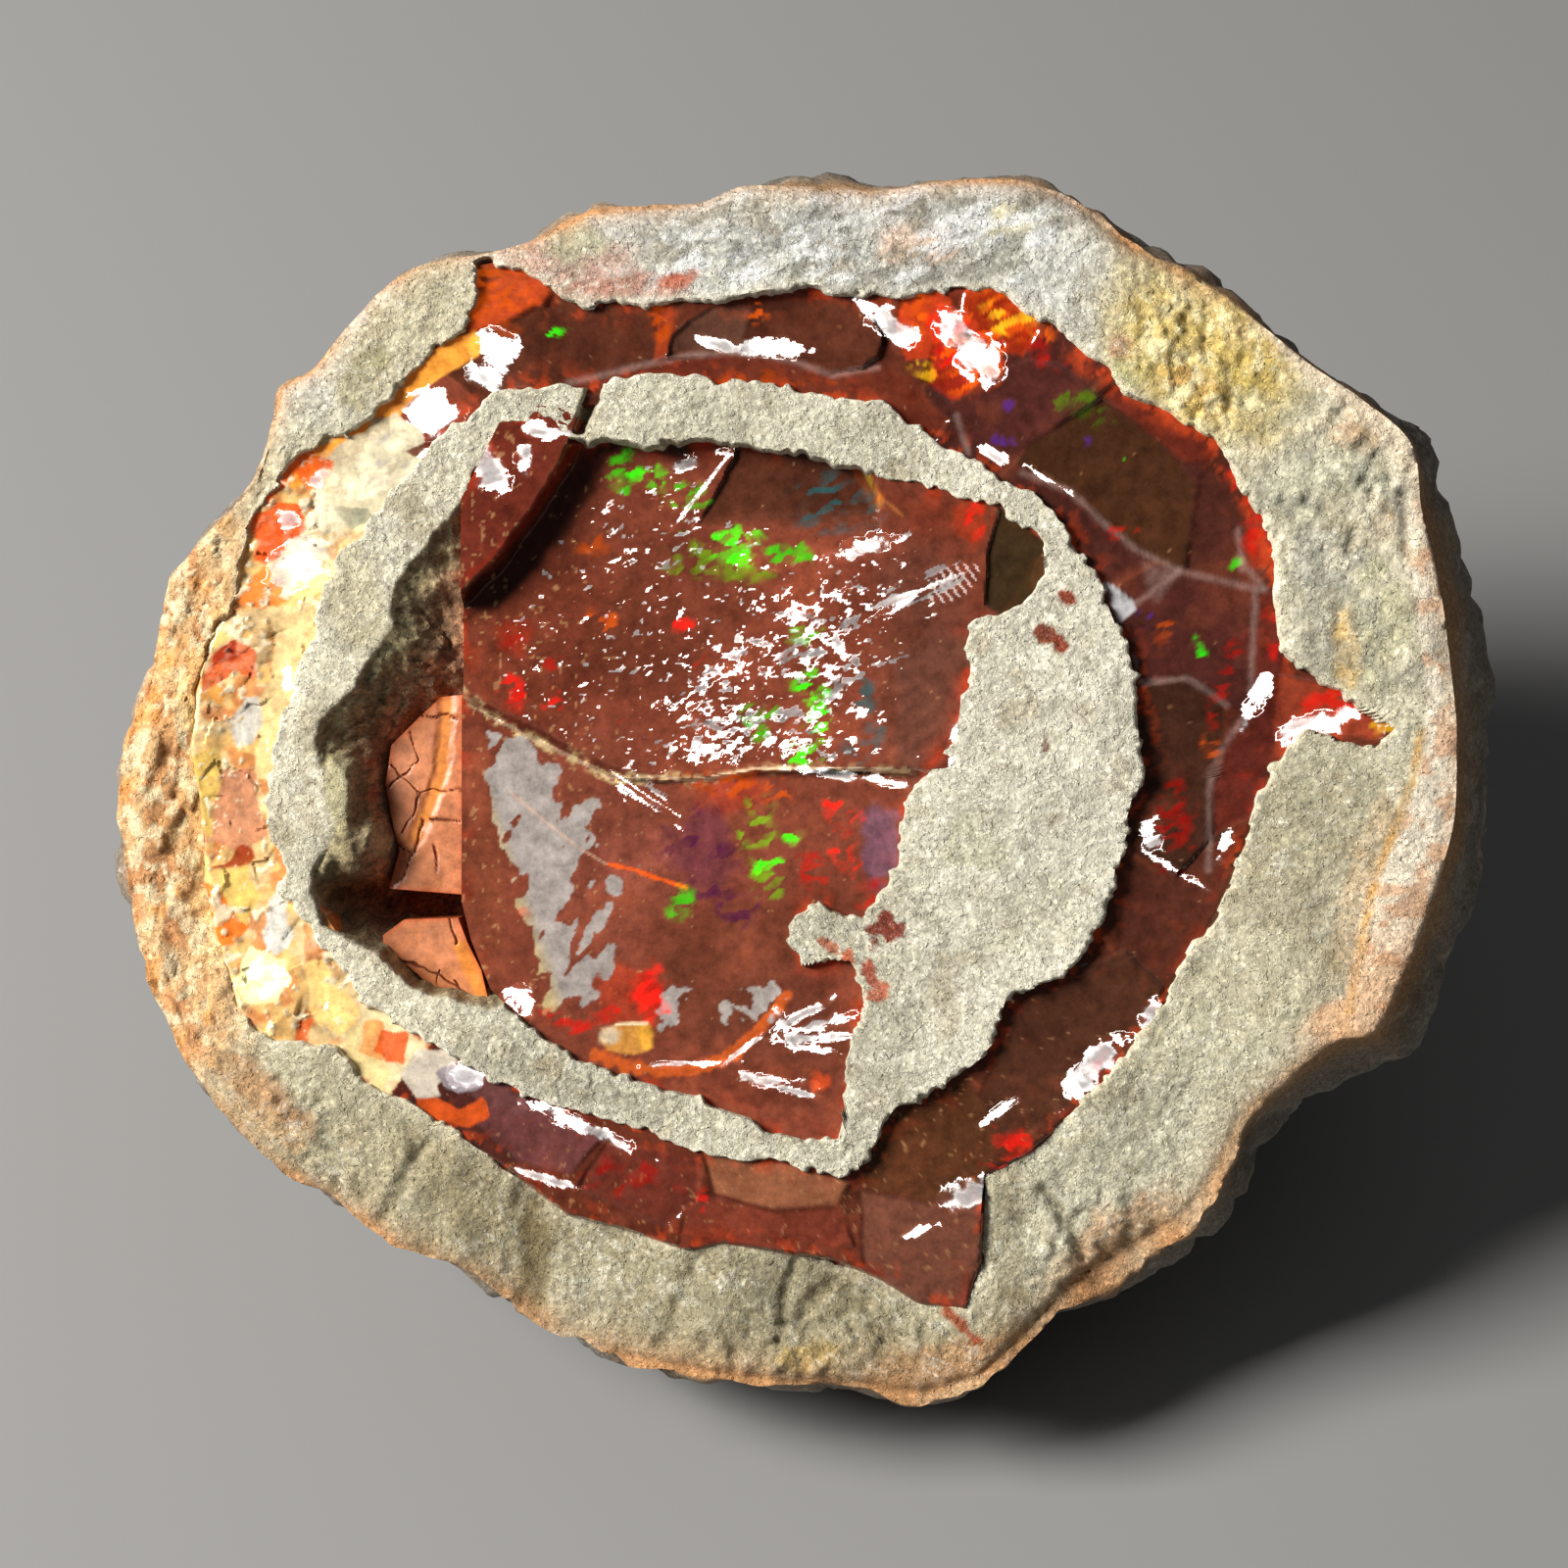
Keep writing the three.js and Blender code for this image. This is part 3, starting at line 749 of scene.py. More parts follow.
ROCK_FEATURES = [
    # The upper left lobe and the top.
    feature((196, 184, 148), (-19, 23.6), (5, 3), 40, 0.8),
    feature((166, 156, 112), (-22.5, 20.6), (2, 1), 50, 0.6),
    feature((206, 160, 140), (-11.3, 26.2), (4.2, 1.7), -12, 0.8),
    feature((184, 180, 150), (-11.9, 27.8), (1.6, 1.4), 0, 0.9),
    feature((176, 104, 80), (-9.8, 25.3), (2.8, 0.55), 8, 0.6),
    feature((200, 86, 40), (-6.6, 25.6), (1.1, 0.5), 25, 0.8),
    feature((176, 176, 172), (-2, 27.6), (3.6, 1.0), 25, 0.5),
    feature((240, 240, 234), (1.4, 28.2), (3, 0.7), 28, 0.6),
    feature((236, 204, 182), (5.8, 27.6), (1.9, 1.2), 0, 0.85),
    feature((120, 118, 110), (5.5, 29.5), (1.2, 0.6), 0, 0.8),
    feature((242, 228, 168), (10.6, 28.7), (1.2, 0.8), 0, 0.8),
    feature((232, 230, 218), (13.2, 26.6), (3.4, 2.4), -40, 0.6),
    # The crumbly ochre patch at the upper right, with its pale outer band.
    feature((228, 204, 138), (19.8, 21.8), (4.6, 3.4), -40, 0.9, ragged=0.4),
    feature((186, 162, 70), (22.8, 20.9), (1.7, 1.0), -35, 0.8),
    feature((118, 104, 66), (20, 23.7), (1.3, 0.5), -20, 0.7),
    feature((216, 164, 140), (16.2, 22.3), (0.8, 0.7), 0, 0.8),
    feature((158, 160, 108), (17, 21.1), (1.1, 0.8), -20, 0.8),
    feature((196, 128, 62), (20, 20.1), (2.1, 0.9), -22, 0.85),
    feature((178, 184, 152), (22.6, 19.6), (0.8, 0.6), 0, 0.9),
    feature((220, 194, 144), (22.6, 23.5), (3.6, 1.1), -40, 0.85, ragged=0.15),
    feature((190, 184, 156), (24.6, 18.9), (2.4, 1.3), 12, 0.8, ragged=0.2),
    # The right side.
    feature((236, 214, 178), (28.6, 18.6), (3.6, 0.9), -47, 0.85, ragged=0.2),
    feature((214, 170, 128), (28, 17.6), (1.2, 0.7), -30, 0.6),
    feature((206, 202, 176), (26.6, 15.4), (3, 2.6), 0, 0.6),
    feature((200, 198, 186), (26.4, 11.6), (2, 1.3), 0, 0.5),
    feature((210, 168, 122), (29.6, 13.4), (0.6, 1.1), 10, 0.8),
    feature((208, 202, 166), (29.4, 8), (1.4, 3.6), 3, 0.95, ragged=0.1, soft=0.1),
    feature((178, 174, 156), (26.6, 8.8), (1.3, 2.6), 0, 0.7),
    feature((222, 186, 116), (27.6, 7), (0.7, 2.1), 4, 0.85, ragged=0.3),
    feature((180, 172, 142), (26.6, -1), (3.6, 3), -10, 0.5),
    feature((222, 216, 186), (22.6, -11), (4.4, 3), 45, 0.5),
    feature((226, 196, 156), (28.6, -5), (0.9, 5), -17, 0.6, ragged=0.2),
    # The bottom.
    feature((226, 220, 192), (15, -20.5), (5.5, 3.5), 40, 0.8),
    feature((222, 176, 132), (16.2, -23.2), (3.2, 1.4), 35, 0.7),
    feature((196, 148, 104), (8, -29.8), (4.4, 1.3), 10, 0.75),
    feature((140, 130, 98), (2, -26.3), (1.8, 1.1), 0, 0.5),
    feature((210, 180, 110), (0.2, -29.4), (1.4, 0.8), 10, 0.7),
    feature((170, 160, 130), (-9, -25.6), (2.8, 2.2), 0, 0.7),
    feature((214, 206, 176), (-11.8, -26), (1.6, 2.4), 0, 0.5),
    feature((164, 150, 116), (-18, -20.2), (3.4, 1.8), -30, 0.7),
    feature((206, 194, 160), (-22, -19), (3, 1.6), -45, 0.5),
    feature((216, 170, 116), (-27.6, -16.6), (2.6, 1.2), -45, 0.6),
    # The left rim.
    feature((222, 176, 112), (-32, 3), (2.6, 8), 5, 0.7),
    feature((150, 92, 52), (-31.5, 8.4), (0.7, 2.6), 8, 0.75),
    feature((236, 206, 150), (-30.8, 12.4), (1.6, 1.4), 30, 0.6),
    feature((240, 206, 150), (-33, -3), (1.4, 6), -3, 0.6),
    feature((176, 112, 68), (-31.8, -5), (0.8, 3.4), -8, 0.6),
    feature((226, 170, 112), (-31, -11), (2, 3.6), -20, 0.6),
    feature((176, 128, 88), (-28, -15.4), (3.4, 1.0), -40, 0.6),
]


def paint_rock(points, paint, seed):
    """The speckle of broken volcanic rock: lighter and darker crumbs, patches and pores."""
    _, own, _ = cracked(points, 0.8, seed + 1)
    grain = layered(points, 0.6, 2, seed + 7)
    paint.shade(0.96 + 0.14 * (own - 0.5) + 0.16 * layered(points, 4.0, 2, seed + 5) + 0.12 * grain)
    lay_blotches(points, paint, ROCK_BLOTCHES, seed=seed)
    fresh = blotches(points, 5.0, 2, seed + 15, -0.5, 0.3)
    paint.cover(rock_ridges(points, seed) * (0.2 + 0.3 * fresh), tint(244, 240, 220))


# Blotches of colour on the rock, on its worn right side, on its flaky left rim and on the skin of the back.
ROCK_BLOTCHES = [(1.8, 3, 9, 0.2, 0.6, 0.4, (160, 140, 104)), (0.8, 3, 13, 0.1, 0.4, 0.22, (136, 120, 88))]
WORN_BLOTCHES = [
    (1.6, 4, 50, 0.05, 0.3, 0.6, (240, 230, 202)), (1.3, 4, 51, 0.12, 0.35, 0.5, (156, 154, 138)),
]
LEFT_BLOTCHES = [(0.6, 3, 47, 0.06, 0.16, 0.75, (242, 222, 180)), (1.6, 3, 48, 0.2, 0.4, 0.6, (230, 150, 70))]
SKIN_BLOTCHES = [
    (5, 3, 71, -0.2, 0.5, 0.7, (108, 100, 90)), (3, 3, 73, 0.1, 0.5, 0.6, (186, 166, 140)),
    (2.2, 3, 75, 0.15, 0.5, 0.6, (90, 80, 70)), (0.9, 3, 76, 0.2, 0.4, 0.5, (196, 190, 176)),
]

# Marks on the rock: a cream thread and a pale strip at the upper right, a rusty vein at the bottom, and the
# ochre seam inside the pale band at the right.
CREAM_THREAD = [(22.4, 17.0), (24.6, 17.9), (27.1, 18.8)]
PALE_STRIP = [(24.2, 23.2), (26.8, 20.9), (29, 18.9), (31.2, 16.8)]
RUSTY_VEIN = [(6.9, -26.4), (7.5, -27.2), (8.2, -27.8), (8.8, -28.5)]
RIM_SEAM = [(31.4, 2.6), (30.9, 0), (29.9, -3), (29.1, -5), (28.4, -8.2), (27.8, -11.6)]


def outer_rock(points):
    """The height and the paint of the outer rock's broken face."""
    u, v = points[:, 0], points[:, 1]
    rim = inside_by(points, RIM)
    edge = ragged_edge(points, RING_OUTSIDE, 11)
    left = smoothstep(-u, 27, 31) * smoothstep(17 - np.abs(v), 0, 6)
    height = outer_rock_height(points, rim) + rock_relief(points, 21) * (1 + 0.4 * left)
    flaky = stretched(points, 84, 1.5)
    height += left * (0.26 * chipped(flaky, 0.8, 0.5, 0.6, 31) + 0.3 * layered(flaky, 1.3, 3, 32))
    height += 0.22 * smoothstep(-v, 14, 20) * layered(points, 3.2, 2, 23)
    gaps = sum(stroke(points, line, width, 0.95, 0.9, seed=3) for line, width in ROCK_GAPS).clip(0, 1)
    height -= 0.22 * gaps
    for number, (at, half, turn, high) in enumerate(ROCK_CRUMBLES):
        crumbly = spot(points, at, half, turn, seed=661 + number)
        height += high * crumbly * (chipped(points, 0.6, 0.5, 0.7, 24) + layered(points, 0.7, 3, 25))
    height -= drop(edge)
    paint = Paint(len(points), tint(194, 185, 154), 0.85)
    paint_rock_tones(points, paint)
    paint_features(points, paint, ROCK_FEATURES, 601)
    paint_rock(points, paint, 21)
    paint_silver(points, paint)
    paint_rim(points, paint, rim, left)
    beside = np.exp(-np.maximum(-edge, 0) / 0.9) * left
    paint.cover(beside * (0.6 + 0.8 * layered(points, 1.1, 3, 57)).clip(0, 1), tint(240, 192, 118))
    near = np.exp(-np.maximum(-edge, 0) / 0.3)
    paint.cover(near * 0.5 * (1 - left), tint(240, 230, 200))
    paint_rock_marks(points, paint, gaps)
    return height, paint


def paint_rock_tones(points, paint):
    """The rock's wide tones: paler at the top and darker at the bottom, and paler at the right as painted
    light, where the key light is weaker.
    """
    u, v = points[:, 0], points[:, 1]
    paint.cover(smoothstep(v, 16, 22) * (1 - smoothstep(u, 13, 17)), tint(208, 206, 196))
    # The right side painted paler: painted light, making up for the weaker key light there.
    paint.cover(smoothstep(u, 12, 20) * 0.6, tint(222, 215, 187))
    paint.cover(smoothstep(-v, 16, 23) * (1 - smoothstep(u, 4, 10)) * 0.7, tint(160, 150, 120))
    low_right = smoothstep(u, 18, 22) * smoothstep(-v, -1, 2) * (1 - smoothstep(-v, 10, 15))
    paint.cover(low_right * 0.6, tint(180, 168, 138))


def paint_silver(points, paint):
    """The silvery sheen along the top, with darker streaks."""
    u, v = points[:, 0], points[:, 1]
    leaning = stretched(points, 26, 3.0)
    silver = smoothstep(v, 24.5, 26) * (1 - smoothstep(np.abs(u - 3), 9, 14))
    paint.cover(silver * blotches(leaning, 0.7, 3, 35, 0.05, 0.2) * 0.7, tint(240, 241, 238), finish=0.45)
    paint.cover(silver * blotches(leaning, 0.6, 3, 36, 0.15, 0.3) * 0.6, tint(128, 124, 108))


def paint_rock_marks(points, paint, gaps):
    """The painted shade in the gaps, the threads and veins of the rock, its ochre corner and its worn right
    side.
    """
    u, v = points[:, 0], points[:, 1]
    paint.cover(stroke(points, CREAM_THREAD, 0.22, seed=45) * 0.8, tint(240, 222, 184))
    # Painted shade in the gaps between the rock's facets.
    paint.cover(gaps * 0.45, tint(120, 108, 80))
    paint.cover(stroke(points, RUSTY_VEIN, 0.24, ragged=0.9, seed=49) * 0.9, tint(164, 72, 36), finish=0.3)
    ochre = spot(points, (20.8, 21.7), (5.6, 3.5), -42, 0.25, seed=53)
    paint.cover(ochre * (0.55 + 0.5 * layered(points, 0.9, 3, 55)).clip(0, 1), tint(218, 190, 112))
    paint.cover(ochre * blotches(points, 0.8, 3, 56, 0.12, 0.3) * 0.7, tint(250, 236, 184))
    worn = smoothstep(u, 20, 24) * smoothstep(v, 2, 6) * (1 - ochre)
    lay_blotches(points, paint, WORN_BLOTCHES, worn)
    paint.cover(stroke(points, PALE_STRIP, 0.8, soft=0.3, seed=52) * 0.8, tint(246, 226, 196))
    # Painted shade in the groove at the bottom left.
    paint.cover(spot(points, (-13.8, -24), (0.8, 2.6), 0, seed=46) * 0.6, tint(122, 104, 66))


def paint_rim(points, paint, rim, left):
    """The weathered skin at the face's edge, a wide pale band of it at the right, and the flaky left rim."""
    u, v = points[:, 0], points[:, 1]
    patchy = (0.75 + 0.5 * layered(points, 2.4, 2, 43)).clip(0, 1)
    skin = np.exp(-np.maximum(rim, 0) / (0.45 + 0.35 * smoothstep(-v, 20, 27)))
    paint.cover(skin * patchy, tint(204, 150, 100))
    flaky = stretched(points, 84, 1.6)
    paint.cover(left * 0.8, tint(218, 172, 120))
    paint.cover(left * blotches(flaky, 1.3, 4, 46, 0.0, 0.2) * 0.6, tint(194, 122, 70))
    lay_blotches(points, paint, LEFT_BLOTCHES, left)
    band = smoothstep(u, 24, 28) * smoothstep(17 - v, 0, 3) * smoothstep(v, -14.5, -12)
    wide = 1.3 + 1.8 * np.exp(-((v + 5.5) / 5.5) ** 2)
    whitish = (1 - smoothstep(rim, 0.9 * wide, 1.1 * wide)) * band
    paint.cover(whitish * 0.9, tint(250, 236, 212))
    low = whitish * smoothstep(-v, 4, 11) + (1 - smoothstep(rim, 0.1, 0.7)) * band * 0.35
    paint.cover(low.clip(0, 1) * 0.8 * patchy, tint(244, 180, 120))
    paint.cover(whitish * blotches(points, 0.9, 3, 49, 0.1, 0.25) * 0.6, tint(222, 160, 112))
    seam = stroke(points, RIM_SEAM, 0.24, seed=44)
    paint.cover(seam * (0.6 + 0.5 * layered(points, 0.7, 2, 54)).clip(0, 1), tint(228, 172, 88))


def lump(place):
    """How far the skin's wide lumps stand out."""
    u, v, w = place[..., 0], place[..., 1], place[..., 2]
    wide = np.sin(u / 4.1 + 0.7) * np.sin(v / 3.7 + 1.9) * np.sin(w / 3.9 - 0.5)
    small = np.sin(u / 1.9 - w / 2.6) * np.sin(v / 2.1 + w / 2.3 + 0.8)
    return LUMP_HEIGHT * (wide + 0.55 * small)


def side_point(rim_loop, depth):
    """The stone's side at some depth below the face."""
    radius = np.hypot(*rim_loop.T)
    way = rim_loop / radius[:, None]
    bearing = np.arctan2(rim_loop[:, 1], rim_loop[:, 0])
    facing = np.maximum(0, np.cos(bearing - FLANK_BULGE["towards"])) ** 2
    peak = depth / FLANK_BULGE["depth"] * np.exp(1 - depth / FLANK_BULGE["depth"])
    bulge = mix(FLANK_BULGE["least"], FLANK_BULGE["most"], facing) * peak
    grown = (radius + bulge) * fullness(np.clip(depth / STONE_DEPTH, 0, 1))
    place = np.column_stack([way * grown[:, None], -depth])
    knobs, _, _ = cracked(place, KNOB_SIZE, 51)
    knobs = np.minimum(knobs, 1.1) - 0.6
    fine = layered(place, 1.5, 3, 61)
    hollows, _, _ = cracked(place, HOLLOW_SIZE, 55)
    skin = lump(place) + 0.42 * knobs + 0.3 * fine + 0.12 * np.minimum(hollows, 0.5)
    skin = np.minimum(1, depth / 3) * skin
    return np.column_stack([way * (grown + skin)[:, None], -depth])


def above_ground(points):
    """Lifts what would lie below the surface that the stone stands on: the flat spot of its back."""
    place = to_part(points)
    low = np.maximum(-place[:, 2], 0) * PER_METRE
    moved = points.copy()
    moved[:, 1] += low * math.cos(FACE_ELEVATION)
    moved[:, 2] += low * math.sin(FACE_ELEVATION)
    return moved


def build_host(material):
    middle = np.zeros(2)
    angles, way = ways_round(HOST_COLUMNS)
    bearing, radius = polar(RIM, middle)
    rim = way * np.interp(angles, bearing, radius, period=2 * math.pi)[:, None]
    rim_height = outer_rock_height(rim, np.zeros(HOST_COLUMNS)) + 0.2 * layered(rim, 2.4, 3, 21)
    first = side_point(rim, -np.minimum(-0.1, rim_height))
    inner = edge_loop(RING_OUTSIDE, middle, HOST_COLUMNS, np.min, -HOST_OVERLAP)
    top, paint = broken_surface(annulus(inner, first[:, :2], HOST_ROWS), outer_rock)
    shell, hidden = start_piece(top, OPAL_RING_DEPTH + SEAM)
    add_back(shell, rim[::2], -top[-1, ::2, 2])
    points = np.vstack(shell.points)
    whole = spread(paint, hidden, shell.count)
    back = slice(hidden + HOST_ROWS * HOST_COLUMNS, shell.count)
    paint_skin(points[back], whole, back)
    return add_mesh("outer_rock_shell", points, shell.faces, whole, material, 70)


def add_back(shell, rim, start):
    """The stone's side and round back, from its depth at the rim down to the bottom."""
    for row in range(1, BACK_ROWS):
        turn = math.pi / 2 * (row / BACK_ROWS) ** 1.25
        share = math.sin(turn) ** (2 / BACK_FULLNESS)
        shell.loop(above_ground(side_point(rim, start + (STONE_DEPTH - start) * share)))
    shell.pole(above_ground(np.array([[0, 0, -STONE_DEPTH]]))[0])


def paint_skin(place, whole, part):
    """The weathered skin of the side and back, warmer near the rim."""
    skin = Paint(len(place), tint(140, 133, 122), 0.9)
    lay_blotches(place, skin, SKIN_BLOTCHES)
    near_rim = np.exp(np.minimum(place[:, 2] + 0.8, 0) / 1.1)
    skin.cover(near_rim * 0.8, tint(198, 148, 98))
    whole.colour[part] = skin.colour
    whole.finish[part] = skin.finish


# The opal ring. Each facet of its broken surface is a shallow scoop, and the lowest one shows. The zones are
# the facets with a clear outline of their own.

def scoop(at, low, curve, turn=0, *, look, finish=0.07):
    """A shallow bowl in the ring's surface, curved along and across its turn."""
    return {"at": at, "low": low, "curve": curve, "turn": turn, "look": look, "finish": finish}


RING_FACETS = [
    scoop((-11.5, 22.8), -1.3, (0.012, 0.05), look=CHOCOLATE),
    scoop((-1.8, 22.0), -1.45, (0.012, 0.06), look=RED_BROWN),
    scoop((9, 22.5), -0.9, (0.05, 0.05), look=RED_BROWN),
    scoop((11.6, 19.2), -1.2, (0.02, 0.03), turn=-40, look=PURPLE_BROWN),
    scoop((15.4, 15), -1.35, (0.012, 0.03), turn=-50, look=PURPLE_BROWN),
    scoop((21.5, 13), -0.9, (0.05, 0.03), look=RED_BROWN),
    scoop((19, 8.5), -1.3, (0.03, 0.03), look=PURPLE_BROWN),
    scoop((19.2, 0.4), -1.5, (0.09, 0.012), look=DARK_OPAL),
    scoop((22.6, 2), -1.2, (0.06, 0.02), look=RED_BROWN),
    scoop((18.5, -7), -1.3, (0.04, 0.03), look=CHOCOLATE),
    scoop((12.5, -12.5), -1.5, (0.02, 0.04), turn=48, look=CHOCOLATE),
    scoop((6.2, -18.8), -1.7, (0.03, 0.03), look=CHOCOLATE),
    scoop((5.6, -23.8), -1.5, (0.04, 0.04), look=WARM_OPAL),
    scoop((-1.5, -21.8), -1.2, (0.03, 0.06), look=RED_BROWN),
    scoop((-9.5, -20), -1.2, (0.03, 0.06), turn=-20, look=RED_BROWN),
    scoop((-17, -16.5), -1.2, (0.04, 0.05), turn=-30, look=PURPLE_BROWN),
    scoop((-23, -11.5), -1.6, (0.05, 0.05), look=CREAM, finish=0.3),
    scoop((-28, 0), -1.8, (0.03, 0.006), look=CREAM, finish=0.4),
    scoop((-26.5, 10.5), -1.7, (0.04, 0.02), look=CREAM, finish=0.25),
    scoop((-20, 18.3), -1.0, (0.05, 0.03), turn=45, look=WARM_OPAL),
]


def zone(outline, level, slope, curve=0.0, *, look, glow=BLACK, finish=0.06):
    """A facet with an outline of its own, and its level, slope and look."""
    return {"outline": outline, "level": level, "slope": slope, "curve": curve, "look": look, "glow": glow,
            "finish": finish}


RING_ZONES = [
    # The tongue at the upper left and the amber band below it.
    zone([(-17.2, 23.2), (-17.0, 27.6), (-14.6, 27), (-12.9, 25.2), (-13.2, 24.4), (-15.8, 23.3)], -0.8,
         (0.1, -0.2), look=tint(176, 66, 30), glow=HOT_ORANGE * 0.03, finish=0.15),
    zone([(-17.1, 25.6), (-17, 27.6), (-14.8, 27.2), (-15.3, 25.8)], -1.1, (0.1, 0.1),
         look=tint(140, 62, 34)),
    zone([(-15.8, 23.2), (-13.7, 24.5), (-12.3, 24.1), (-10.8, 23.8), (-8.9, 24.5), (-8, 24.4), (-7.5, 23.4),
          (-7.4, 22), (-8.3, 21.3), (-9.6, 21), (-11.7, 20.5), (-12.9, 20.7), (-14, 21.5)], -1.15,
         (0.02, 0.03), 0.006, look=CHOCOLATE),
    zone([(-8.1, 24.9), (-7.4, 25), (-6.7, 24.6), (-6.5, 23.2), (-7.1, 21.8), (-7.6, 21.6), (-7.5, 23.3)],
         -0.95, (0.1, -0.1), look=tint(150, 58, 30), glow=HOT_ORANGE * 0.05),
    zone([(-7, 21.8), (-6.7, 22.9), (-5.9, 23.7), (-4.8, 24.4), (-3.3, 24.9), (0.6, 25), (2.1, 24.6),
          (3.5, 23.8), (4.1, 22.8), (3.8, 21.8), (3, 21.2), (1.4, 21), (-0.2, 21.5), (-1.8, 21.9),
          (-3.4, 22), (-5, 21.9)], -1.5, (0.0, -0.03), 0.02, look=CHOCOLATE),
    zone([(-7, 21.8), (-6.7, 22.9), (-5.9, 23.7), (-4.8, 24.4), (-3.5, 24.8), (-2.6, 24), (-3.4, 22),
          (-5, 21.9)], -1.42, (0.02, 0.05), 0.02, look=tint(98, 62, 48)),
    zone([(-12, 20.4), (-8.5, 21.1), (-6, 21.7), (-3.4, 21.9), (-0.4, 21.4), (1.4, 20.8), (4, 21.4),
          (5.5, 20.6), (7.5, 18.6), (6.5, 17.4), (0, 19.8), (-12, 19.9)], -1.0, (0.0, 0.12), look=RED_BROWN,
         glow=BRIGHT_RED * 0.04),
    # The fiery chips at the top right.
    zone([(5.2, 25.6), (7.4, 25.6), (7.8, 23.6), (6.6, 21.8), (5.2, 21.6), (4.6, 23.4)], -0.8, (0.2, 0.1),
         look=tint(170, 52, 24), glow=HOT_ORANGE * 0.08),
    zone([(8.3, 25.6), (10.7, 25.7), (12.1, 23.2), (11.2, 21.9), (9.2, 22.4), (8, 23.6)], -0.7, (-0.2, 0.15),
         look=tint(150, 44, 18), glow=BRIGHT_RED * 0.06),
    zone([(6.6, 22.4), (8.6, 22.6), (10.4, 21.6), (9.6, 20.5), (7.6, 19.6), (6.2, 20.6)], -1.0, (0.1, 0.1),
         look=tint(150, 40, 22), glow=BRIGHT_RED * 0.05),
    # Two lens-shaped facets at the right of the top, and what lies round them.
    zone([(7.8, 18.9), (8.6, 20.2), (10.4, 21.3), (11.5, 21.7), (12.9, 21.4), (14.2, 20.6), (15.2, 19.7),
          (11.3, 17.1), (9.4, 16.8), (8.3, 16.9)], -1.0, (0.05, 0.02), 0.012, look=tint(78, 38, 32)),
    zone([(15.2, 19.7), (16.6, 18.7), (18, 17.6), (19.3, 16.4), (20, 15.3), (19.8, 13.3), (19.5, 11),
          (18, 11.4), (16.5, 12.4), (15.2, 13.5), (13.6, 15.1), (12, 15.8), (10.9, 16.4), (11.3, 17.1)],
         -1.55, (0.02, 0.0), 0.01, look=OLIVE_OPAL),
    zone([(20.2, 15.6), (21.4, 17.2), (22.4, 15.6), (22.5, 11.8), (21.8, 9.8), (19.6, 11), (20, 13.4)], -1.1,
         (0.12, 0.05), 0.01, look=tint(76, 38, 29)),
    zone([(16.4, 21), (18.6, 19.5), (21.2, 17.6), (20.6, 16.4), (19.4, 16.5), (16.6, 18.8), (15.2, 19.9)],
         -0.8, (0.15, -0.1), look=tint(100, 40, 27), glow=BRIGHT_RED * 0.012),
    zone([(22.6, 14.2), (24.6, 14.3), (24.6, 11.2), (22.8, 11)], -0.7, (0.2, 0.0), look=tint(134, 42, 26),
         glow=BRIGHT_RED * 0.04),
    # The long facets at the right.
    zone([(16.4, 9.4), (18.4, 11.2), (22, 9.9), (23.4, 9.9), (23.1, 5), (22.8, 3.8), (21.4, 3.9),
          (20.4, 5.2), (19.4, 5.5), (17.2, 5.2)], -1.3, (0.04, 0.01), 0.006, look=tint(76, 37, 31)),
    zone([(17.2, 5), (19.4, 5.4), (20.4, 5), (21.5, 3.9), (21.5, 1.8), (20.9, 0), (20.6, -3), (19, -4.6),
          (17.2, -3.6), (16.8, 0)], -1.65, (0.03, 0.01), 0.02, look=DARK_OPAL),
    zone([(23.3, 9.8), (24.6, 9.9), (24.8, 5.6), (24.4, 1.6), (22.8, -1.6), (21, -2.6), (20.9, -0.2),
          (21.6, 1.9), (23, 4.6)], -1.2, (0.1, 0.03), look=tint(92, 38, 29), glow=BRIGHT_RED * 0.006),
    zone([(24.2, 5.6), (26.4, 5.2), (29.6, 3.6), (29.3, 2.3), (25.4, 2.6), (24, 1.2)], -0.9, (0.15, -0.1),
         look=tint(140, 58, 38), glow=HOT_ORANGE * 0.012, finish=0.1),
    # The lower right and the bottom.
    zone([(16.6, -4), (19, -4.8), (20.8, -3), (22.3, -2.6), (21, -6.4), (18.8, -10), (16, -8.6)], -1.35,
         (0.05, 0.03), 0.01, look=tint(86, 44, 32)),
    zone([(16.4, -8.6), (18.4, -10.4), (16.4, -13.6), (13.8, -16.4), (10.6, -18.4), (8.8, -16.4),
          (10.4, -12.4), (13, -9.6)], -1.5, (0.05, 0.04), 0.008, look=tint(80, 46, 32)),
    zone([(3, -16.8), (8.4, -15.2), (9.8, -17.6), (9.4, -20.4), (6.4, -21.4), (3.2, -20.6)], -1.75,
         (0.03, 0.02), 0.01, look=tint(86, 50, 30)),
    zone([(3, -20.9), (6.4, -21.6), (9.2, -20.8), (9.2, -25), (8, -26.9), (5.6, -26.4), (3, -24.6)], -1.3,
         (0.06, 0.1), look=tint(118, 70, 54)),
    zone([(-5.2, -18.9), (-1, -19.4), (2.4, -20.4), (1.6, -21.5), (-1.4, -21.7), (-4.6, -20.9)], -0.85,
         (0.05, 0.12), look=TAN_OPAL),
    zone([(-6, -21.2), (-4.4, -21.1), (-1.4, -22), (1.9, -21.7), (2.6, -23.6), (0, -24), (-4, -23.6),
          (-6.4, -23.6)], -1.3, (0.0, -0.1), 0.01, look=tint(122, 56, 40)),
    zone([(-9.8, -18), (-6.4, -18.9), (-5.4, -19.2), (-5.4, -21.2), (-7, -22.6), (-9.4, -21.6),
          (-11.6, -20.6)], -1.15, (0.08, 0.05), look=tint(104, 48, 36)),
    zone([(-15.6, -15.6), (-12.4, -16.9), (-10, -17.8), (-12, -20), (-14.6, -19.2), (-16.8, -17.4)], -1.0,
         (0.1, 0.06), look=tint(104, 58, 56)),
]

ZONE_DEPTH = 0.36  # the share of the listed levels that the ring has below the rock

